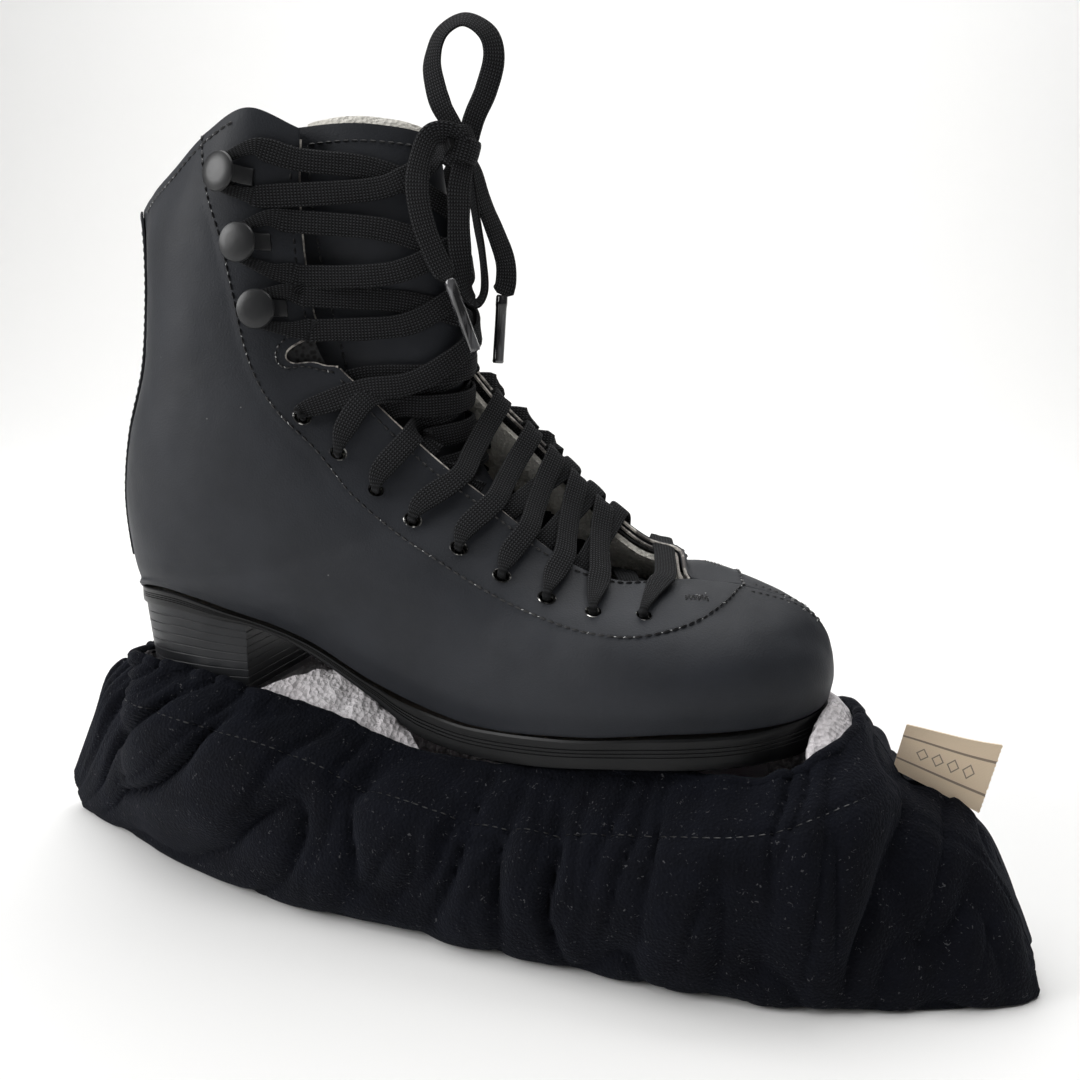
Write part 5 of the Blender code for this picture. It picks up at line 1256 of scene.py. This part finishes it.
def make_cover(looks):
    last = len(COVER_SECTIONS) - 1
    rows = np.linspace(0, last, 400)
    columns = np.concatenate([np.linspace(0, 3, 52)[:-1], np.linspace(3, 5, 12)])
    shell = slab_piece("cover_fleece_shell", cover_layer(rows, columns, 0),
                       cover_layer(rows, columns, COVER_THICK), looks["fleece"], "cover", "cover_fleece",
                       ["cover_shell"], angle=70)
    rows = rows[(rows >= 2.5) & (rows <= 18.5)]
    depth = COVER_LINING_DEPTH - 0.2
    outer, inner = (cover_layer(rows, columns, d, 1.0) for d in (depth, depth + COVER_LINING_THICK))
    for r in range(inner.shape[0]):
        for c in range(inner.shape[1]):
            inner[r, c, 1] += 0.7 * soft_noise(inner[r, c], 2.0, 6.0)
            inner[r, c, 2] += 0.6 * soft_noise(inner[r, c], 2.2, 1.0)
            if c < 12:
                outer[r, c] += 0.55 * soft_noise(outer[r, c], 1.6, 8.0)
    lining = slab_piece("cover_terry_lining", outer, inner, looks["terry"], "cover", "cover_terry",
                        ["cover_lining"], angle=70)
    rows = np.linspace(COVER_OPEN_FIRST + 0.1, COVER_OPEN_LAST - 0.1, 260)
    rim = cover_layer(rows, [0, 0.1], 2.2)
    loop = np.concatenate([rim[:, 0], rim[::-1, -1]]) + (0, 0, 0.4)
    swell = np.array([2.2 + 0.5 * noise.noise(Vector((p[0] / 3.0, p[1] / 9, 0.5))) for p in loop])
    piece("cover_rim_roll", *tube(loop, swell, 10, closed=True), looks["fleece"], "cover", "cover_fleece",
          ["hem_elastic"], angle=70)
    shapes = []
    rows = np.linspace(3.2, 17.8, 800)
    layer = cover_layer(rows, [CASING_COLUMN - 0.02, CASING_COLUMN, CASING_COLUMN + 0.02, 1.2], 0)
    for line, side in ((layer[:, 1], -1), (layer[:, -2], 1)):
        travelled = np.concatenate([[0], np.cumsum(np.linalg.norm(np.diff(line, axis=0), axis=1))])
        for at in np.arange(1.5, travelled[-1] - 2, 3.4):
            place, ahead = (
                np.array([np.interp(spot, travelled, line[:, k]) for k in range(3)]) for spot in (at, at + 1)
            )
            shapes.append(stitch(place, ahead - place, (0, side, 0.35), 2.2, 0.24))
    piece("cover_casing_stitching", *joined(shapes), looks["thread"], "cover", "cover_fleece")


def make_tag(looks):
    low_left, low_right, high_right, high_left = (np.array((x, 0.0, z)) for x, z in TAG_CORNERS)
    across, tall = 90, 40
    front, back, uv = [], [], []
    for r in range(tall):
        v = r / (tall - 1)
        for c in range(across):
            u = c / (across - 1)
            fray = 0.45 * abs((v * 15) % 1 - 0.5) * 2 * (u > 0.985)
            fray += 0.3 * noise.noise(Vector((v * 40, 2, 2))) * (u > 0.95)
            foot = low_left * (1 - u) + low_right * u
            head = high_left * (1 - u) + high_right * u
            place = foot * (1 - v) + head * v + unit(high_right - high_left) * -fray
            place[2] -= 0.35 * abs((u * 24) % 1 - 0.5) * (v > 0.98)
            place[1] = -2.2 * u * v - 1.5 * math.sin(2.4 * u) * v + 0.7 * math.sin(5.0 * u + 1.0) * v
            front.append(place - (0, TAG_THICK / 2, 0))
            back.append(place + (0, TAG_THICK / 2, 0))
            uv.append((u, v))
    points = leaned(np.array(front + back))
    tag = piece("sewn_tag_weave", points, slab_faces(tall, across), looks["tag"], "tag", "woven_tag",
                ["sewn_tag"], uv=uv + uv, angle=60)


# ---------------------------------------------------------------------------------------------
# Finishes

class Look:
    """A material whose shader is built up from small node calls."""

    def __init__(self, name, colour, roughness, **sockets):
        self.material = bpy.data.materials.new(name)
        self.material.use_nodes = True
        self.tree = self.material.node_tree
        self.shader = self.tree.nodes["Principled BSDF"]
        self.shader.inputs["Base Color"].default_value = (*colour, 1)
        self.shader.inputs["Roughness"].default_value = roughness
        for socket, value in sockets.items():
            self.shader.inputs[socket.replace("_", " ")].default_value = value
        self.place = self.tree.nodes.new("ShaderNodeTexCoord").outputs["Object"]

    def link(self, source, target):
        if isinstance(source, (int, float, tuple)):
            target.default_value = source
        else:
            self.tree.links.new(source, target)

    def uv(self, axis):
        split = self.tree.nodes.new("ShaderNodeSeparateXYZ")
        self.link(self.tree.nodes.new("ShaderNodeTexCoord").outputs["UV"], split.inputs[0])
        return split.outputs[axis]

    def stretched(self, scale):
        mapping = self.tree.nodes.new("ShaderNodeMapping")
        mapping.inputs["Scale"].default_value = scale
        self.link(self.place, mapping.inputs["Vector"])
        return mapping.outputs[0]

    def noise(self, scale, detail=3.0, rough=0.55, vector=None, distortion=0.0):
        node = self.tree.nodes.new("ShaderNodeTexNoise")
        node.inputs["Scale"].default_value = scale
        node.inputs["Detail"].default_value = detail
        node.inputs["Roughness"].default_value = rough
        node.inputs["Distortion"].default_value = distortion
        self.link(vector or self.place, node.inputs["Vector"])
        return node.outputs["Fac"]

    def cells(self, scale, feature="F1", vector=None):
        node = self.tree.nodes.new("ShaderNodeTexVoronoi")
        node.feature = feature
        node.inputs["Scale"].default_value = scale
        self.link(vector or self.place, node.inputs["Vector"])
        return node.outputs["Distance"]

    def math(self, operation, first, second=0.0, third=0.0):
        node = self.tree.nodes.new("ShaderNodeMath")
        node.operation = operation
        for value, target in zip((first, second, third), node.inputs):
            self.link(value, target)
        return node.outputs[0]

    def ramp(self, value, low, high):
        """0 below low, 1 above high."""
        node = self.tree.nodes.new("ShaderNodeMapRange")
        self.link(value, node.inputs["Value"])
        node.inputs["From Min"].default_value = low
        node.inputs["From Max"].default_value = high
        return node.outputs["Result"]

    def mix(self, share, first, second):
        node = self.tree.nodes.new("ShaderNodeMix")
        node.data_type = "RGBA"
        self.link(share, node.inputs[0])
        for value, target in ((first, node.inputs[6]), (second, node.inputs[7])):
            self.link((*value, 1) if isinstance(value, tuple) else value, target)
        return node.outputs[2]

    def colour(self, value):
        self.link(value, self.shader.inputs["Base Color"])

    def roughness(self, value, low, high):
        node = self.tree.nodes.new("ShaderNodeMapRange")
        self.link(value, node.inputs["Value"])
        node.inputs["To Min"].default_value = low
        node.inputs["To Max"].default_value = high
        self.link(node.outputs["Result"], self.shader.inputs["Roughness"])

    def bump(self, height, distance, strength=1.0):
        """Adds a relief of this height in metres on top of any that is there."""
        node = self.tree.nodes.new("ShaderNodeBump")
        node.inputs["Distance"].default_value = distance
        node.inputs["Strength"].default_value = strength
        self.link(height, node.inputs["Height"])
        normal = self.shader.inputs["Normal"]
        if normal.links:
            self.link(normal.links[0].from_socket, node.inputs["Normal"])
        self.link(node.outputs[0], normal)
        return self


def leather_look(name, dark, light):
    look = Look(name, dark, 0.6, Specular_IOR_Level=0.3)
    grain = look.mix(look.ramp(look.noise(38, 4, 0.6), 0.35, 0.7), dark, light)
    dust = look.math("LESS_THAN", look.cells(170), 0.045)
    dust = look.math("MULTIPLY", dust, look.math("GREATER_THAN", look.noise(60, 2, 0.5), 0.63))
    look.colour(look.mix(dust, grain, (0.12, 0.12, 0.12)))
    look.roughness(look.noise(90, 3), 0.5, 0.66)
    look.bump(look.cells(1500, "F1"), 0.00012, 0.5)
    look.bump(look.noise(2600, 2, 0.5), 0.00006, 0.5)
    look.bump(look.noise(70, 3, 0.55), 0.0005, 0.2)
    return look.material


def plush_look(name, dark, light, scale, depth, sheen=0.3, tint=(1, 1, 1, 1), lint=None):
    """Fleece or terry: a nap of small tufts, with patches and, if lint is a colour, specks of it."""
    look = Look(name, dark, 0.95, Sheen_Weight=sheen, Sheen_Roughness=0.45, Sheen_Tint=tint,
                Specular_IOR_Level=0.15)
    tufts = look.cells(scale, "F1")
    patches = look.ramp(look.noise(scale / 14, 4, 0.65), 0.3, 0.75)
    colour = look.mix(patches, dark, light)
    if lint:
        specks = look.math("GREATER_THAN", look.noise(scale * 0.9, 1, 0.4, distortion=1.5), 0.735)
        colour = look.mix(specks, colour, lint)
    look.colour(colour)
    look.bump(tufts, depth, 0.9)
    look.bump(look.noise(scale * 3, 3, 0.7), depth * 0.5, 0.8)
    return look.material


def lace_look():
    """Knitted flat cord: chains of small V-shaped loops side by side, with painted highlights on the loop
    tops and painted shade between them.
    """
    look = Look("knitted_lace", (0.004, 0.004, 0.005), 0.85, Sheen_Weight=0.02, Specular_IOR_Level=0.18)
    along, across = look.uv(0), look.uv(1)
    chain = look.math("MULTIPLY", across, LACE_CHAINS)
    inside = look.math("FRACT", chain)
    slope = look.math("ABSOLUTE", look.math("SUBTRACT", inside, 0.5))
    step = look.math("ADD", look.math("MULTIPLY", along, LACE_STEPS), look.math("MULTIPLY", slope, 1.5))
    loops = look.math("SINE", look.math("MULTIPLY", step, 2 * math.pi))
    loops = look.ramp(loops, -1, 1)
    round_chain = look.math("SINE", look.math("MULTIPLY", inside, math.pi))
    height = look.math("MULTIPLY", loops, round_chain)
    # Painted highlight and shade: the colour is lighter on the loop tops and darker in the hollows between
    # the loops.
    look.colour(look.mix(look.math("POWER", height, 1.6), (0.001, 0.001, 0.0012), (0.06, 0.062, 0.068)))
    look.bump(height, 0.00035, 0.9)
    look.bump(look.noise(2500, 3, 0.7), 0.00018, 0.8)
    return look.material


def sole_look(name, low, high, bright):
    look = Look(name, (0.006, 0.006, 0.0065), 0.35, Specular_IOR_Level=0.22)
    tones = ((0.006, 0.0063, 0.007), (0.014, 0.0145, 0.016))
    dark, light = (tuple(bright * part for part in tone) for tone in tones)
    look.colour(look.mix(look.ramp(look.noise(55, 4), 0.3, 0.8), dark, light))
    look.roughness(look.noise(160, 4, 0.65, look.stretched((0.4, 0.4, 3.0))), low, high)
    look.bump(look.noise(900, 3, 0.6, look.stretched((0.25, 0.25, 2.5))), 0.00008, 0.5)
    return look.material


def metal_look(name, colour, roughness, metallic, worn=None):
    look = Look(name, colour, roughness, Metallic=metallic, Specular_IOR_Level=0.4)
    if worn:
        look.colour(look.mix(look.ramp(look.noise(420, 3, 0.6), 0.52, 0.62), colour, worn))
    scratches = look.noise(500, 4, 0.6, look.stretched((1.0, 4.0, 4.0)))
    look.roughness(scratches, roughness * 0.75, roughness * 1.3)
    look.bump(look.noise(1300, 2, 0.6), 0.00004, 0.35)
    return look.material


def board_look():
    look = Look("fibre_board", (0.45, 0.33, 0.20), 0.85)
    look.colour(look.mix(look.noise(700, 4, 0.7), (0.36, 0.25, 0.15), (0.55, 0.42, 0.28)))
    look.bump(look.noise(1800, 3, 0.6), 0.0001, 0.5)
    return look.material


def raw_edge_look():
    look = Look("raw_leather_edge", (0.62, 0.58, 0.52), 0.7)
    worn = look.ramp(look.noise(260, 3, 0.6), 0.42, 0.62)
    look.colour(look.mix(worn, (0.10, 0.09, 0.085), (0.70, 0.66, 0.60)))
    look.bump(look.noise(1500, 3, 0.6), 0.00012, 0.6)
    return look.material


def lint_look():
    look = Look("white_lint", (0.5, 0.5, 0.5), 0.9)
    look.colour(look.mix(look.noise(800, 2), (0.28, 0.28, 0.28), (0.75, 0.75, 0.74)))
    return look.material


def mesh_look():
    """The dark lining that shows behind the notch and under the flaps."""
    look = Look("dark_mesh", (0.01, 0.01, 0.011), 0.8)
    dots = look.cells(620, "F1")
    look.colour(look.mix(look.ramp(dots, 0.25, 0.6), (0.004, 0.004, 0.004), (0.03, 0.03, 0.032)))
    look.bump(dots, 0.0004, 0.8)
    return look.material


def thread_look():
    look = Look("bonded_thread", (0.006, 0.006, 0.007), 0.35)
    look.roughness(look.noise(900, 2), 0.25, 0.5)
    look.bump(look.noise(4000, 2, 0.5), 0.00005, 0.6)
    return look.material


def tag_look():
    """Woven twill with two plain printed rules and a row of small lozenges."""
    look = Look("woven_twill", (0.7, 0.57, 0.41), 0.85, Sheen_Weight=0.15)
    u, v = look.uv(0), look.uv(1)
    twill = look.math("SINE", look.math("ADD", look.math("MULTIPLY", u, 420), look.math("MULTIPLY", v, 260)))
    cloth = look.mix(look.ramp(twill, -1, 1), (0.76, 0.59, 0.41), (0.93, 0.77, 0.58))
    marks = None
    for height in (0.26, 0.74):
        near = look.math("LESS_THAN", look.math("ABSOLUTE", look.math("SUBTRACT", v, height)), 0.018)
        marks = near if marks is None else look.math("MAXIMUM", marks, near)
    repeat = look.math("FRACT", look.math("MULTIPLY", u, 6.0))
    tilt = look.math("ABSOLUTE", look.math("SUBTRACT", repeat, 0.5))
    rise = look.math("MULTIPLY", look.math("ABSOLUTE", look.math("SUBTRACT", v, 0.5)), 3.4)
    lozenge = look.math("ADD", tilt, rise)
    ring = look.math("LESS_THAN", look.math("ABSOLUTE", look.math("SUBTRACT", lozenge, 0.36)), 0.05)
    inside = look.math("LESS_THAN", look.math("ABSOLUTE", look.math("SUBTRACT", u, 0.5)), 0.34)
    marks = look.math("MAXIMUM", marks, look.math("MULTIPLY", ring, inside))
    look.colour(look.mix(look.math("MULTIPLY", marks, 0.75), cloth, (0.12, 0.08, 0.06)))
    look.bump(twill, 0.00012, 0.7)
    look.bump(look.noise(1600, 3, 0.7), 0.00015, 0.7)
    return look.material


def aglet_look():
    look = Look("smoked_film", (0.02, 0.02, 0.022), 0.1, Coat_Weight=1.0, Coat_Roughness=0.05)
    # Painted highlights: pale streaks along the aglet's length are painted into its dark colour.
    look.colour(look.mix(look.ramp(look.noise(300, 3, 0.6, look.stretched((1, 1, 0.15))), 0.45, 0.6),
                         (0.006, 0.006, 0.007), (0.09, 0.09, 0.095)))
    look.bump(look.noise(500, 2, 0.5, look.stretched((1, 1, 0.1))), 0.00012, 0.6)
    return look.material


def make_looks():
    return {
        "leather": leather_look("matte_leather", (0.0138, 0.0154, 0.0195), (0.0192, 0.0214, 0.027)),
        "lining": plush_look("cream_fleece", (0.68, 0.65, 0.58), (0.86, 0.84, 0.78), 700, 0.0009, 0.3),
        "lining_dark": mesh_look(),
        "hook": metal_look("black_lacquer", (0.012, 0.0125, 0.0135), 0.34, 0.0),
        "eyelet": metal_look("worn_nickel", (0.02, 0.02, 0.02), 0.3, 0.6, (0.62, 0.61, 0.58)),
        "thread": thread_look(),
        "raw_edge": raw_edge_look(),
        "lint": lint_look(),
        "lace": lace_look(),
        "aglet": aglet_look(),
        "sole": sole_look("sole_black", 0.3, 0.46, 0.6),
        "heel": sole_look("heel_black", 0.3, 0.5, 2.2),
        "steel": metal_look("polished_steel", (0.74, 0.75, 0.77), 0.18, 1.0),
        "board": board_look(),
        "fleece": plush_look("blue_black_fleece", (0.0013, 0.0017, 0.0036), (0.003, 0.0038, 0.0075), 900,
                             0.0004, 0.02, (0.6, 0.7, 1.0, 1), (0.06, 0.06, 0.065)),
        "terry": plush_look("grey_terry", (0.82, 0.77, 0.79), (0.97, 0.94, 0.96), 520, 0.0014, 0.4),
        "tag": tag_look(),
    }


def dress_frame(looks):
    """Better materials for the CAD nodes that stay."""
    for name, node in frame["nodes"].items():
        if node.hide_render:
            continue
        if "screw" in name or name in ("sole_plate", "heel_plate", "blade_runner"):
            look = looks["steel"]
        elif name == "footbed":
            look = looks["lining"]
        else:
            look = looks["board"]
        for place in node.material_slots:
            place.material = look


# ---------------------------------------------------------------------------------------------
# Camera, light and floor

def add_camera():
    data = bpy.data.cameras.new("camera")
    data.sensor_width, data.lens = 36.0, CAMERA_LENS
    camera = bpy.data.objects.new("camera", data)
    turn = Matrix.Rotation(math.radians(CAMERA_AZIMUTH), 4, "Z")
    turn = turn @ Matrix.Rotation(math.radians(90 - CAMERA_ELEVATION), 4, "X")
    turn = turn @ Matrix.Rotation(math.radians(CAMERA_ROLL), 4, "Z")
    camera.matrix_world = Matrix.Translation(world(CAMERA_PLACE)) @ turn
    bpy.context.scene.collection.objects.link(camera)
    bpy.context.scene.camera = camera


def add_light(name, place, target, size, power, colour=(1, 1, 1)):
    data = bpy.data.lights.new(name, "AREA")
    data.shape, data.size, data.energy, data.color = "DISK", size, power, colour
    light = bpy.data.objects.new(name, data)
    way = Vector(target) - Vector(place)
    light.matrix_world = Matrix.Translation(place) @ way.to_track_quat("-Z", "Y").to_matrix().to_4x4()
    bpy.context.scene.collection.objects.link(light)


def add_studio():
    """A pale sweep: floor, curve and wall in one sheet."""
    profile = [(-3.0, 0.0), (1.2, 0.0)]
    profile += [(1.2 + 0.8 * math.sin(a), 0.8 - 0.8 * math.cos(a)) for a in np.linspace(0.1, math.pi / 2, 12)]
    profile.append((2.0, 4.0))
    points, faces = [], []
    for x in (-4.0, 4.0):
        points += [(x, y, z - FLOOR_DROP) for y, z in profile]
    count = len(profile)
    faces = [(k, k + count, k + count + 1, k + 1) for k in range(count - 1)]
    mesh = bpy.data.meshes.new("studio_floor")
    mesh.from_pydata(points, [], faces)
    mesh.shade_smooth()
    look = Look("studio_paper", (0.90, 0.90, 0.895), 0.9)
    look.colour(look.mix(look.noise(1.4, 2, 0.5), (0.90, 0.90, 0.90), (0.92, 0.915, 0.90)))
    mesh.materials.append(look.material)
    floor = bpy.data.objects.new("studio_floor", mesh)
    bpy.context.scene.collection.objects.link(floor)
    turn = Matrix.Rotation(math.radians(CAMERA_AZIMUTH), 4, "Z")
    floor.matrix_world = turn
    sky = bpy.data.worlds.new("soft_light")
    sky.use_nodes = True
    sky.node_tree.nodes["Background"].inputs["Color"].default_value = (1.0, 0.995, 0.985, 1)
    sky.node_tree.nodes["Background"].inputs["Strength"].default_value = SKY_STRENGTH
    bpy.context.scene.world = sky
    add_light("overhead", (-0.2, 0.1, 1.7), (0, 0, 0), 2.4, OVERHEAD_POWER)
    add_light("left", (-1.45, -0.95, 0.8), (0, 0, 0.12), 1.1, LEFT_POWER)
    add_light("wall", (0.3, 0.6, 1.7), (0.3, 2.0, 0.9), 1.6, WALL_POWER)
    bpy.context.scene.view_settings.view_transform = "Standard"


def main():
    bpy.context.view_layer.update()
    add_camera()
    looks = make_looks()
    make_bow(looks)
    make_lacing(looks)
    make_uppers(looks)
    make_eyelets(looks)
    make_edges(looks)
    make_stitching(looks)
    make_back_stay(looks)
    make_linings(looks)
    make_tongue(looks)
    make_hooks(looks)
    make_sole(looks)
    make_cover(looks)
    make_tag(looks)
    dress_frame(looks)
    add_studio()
    bpy.context.view_layer.update()


main()
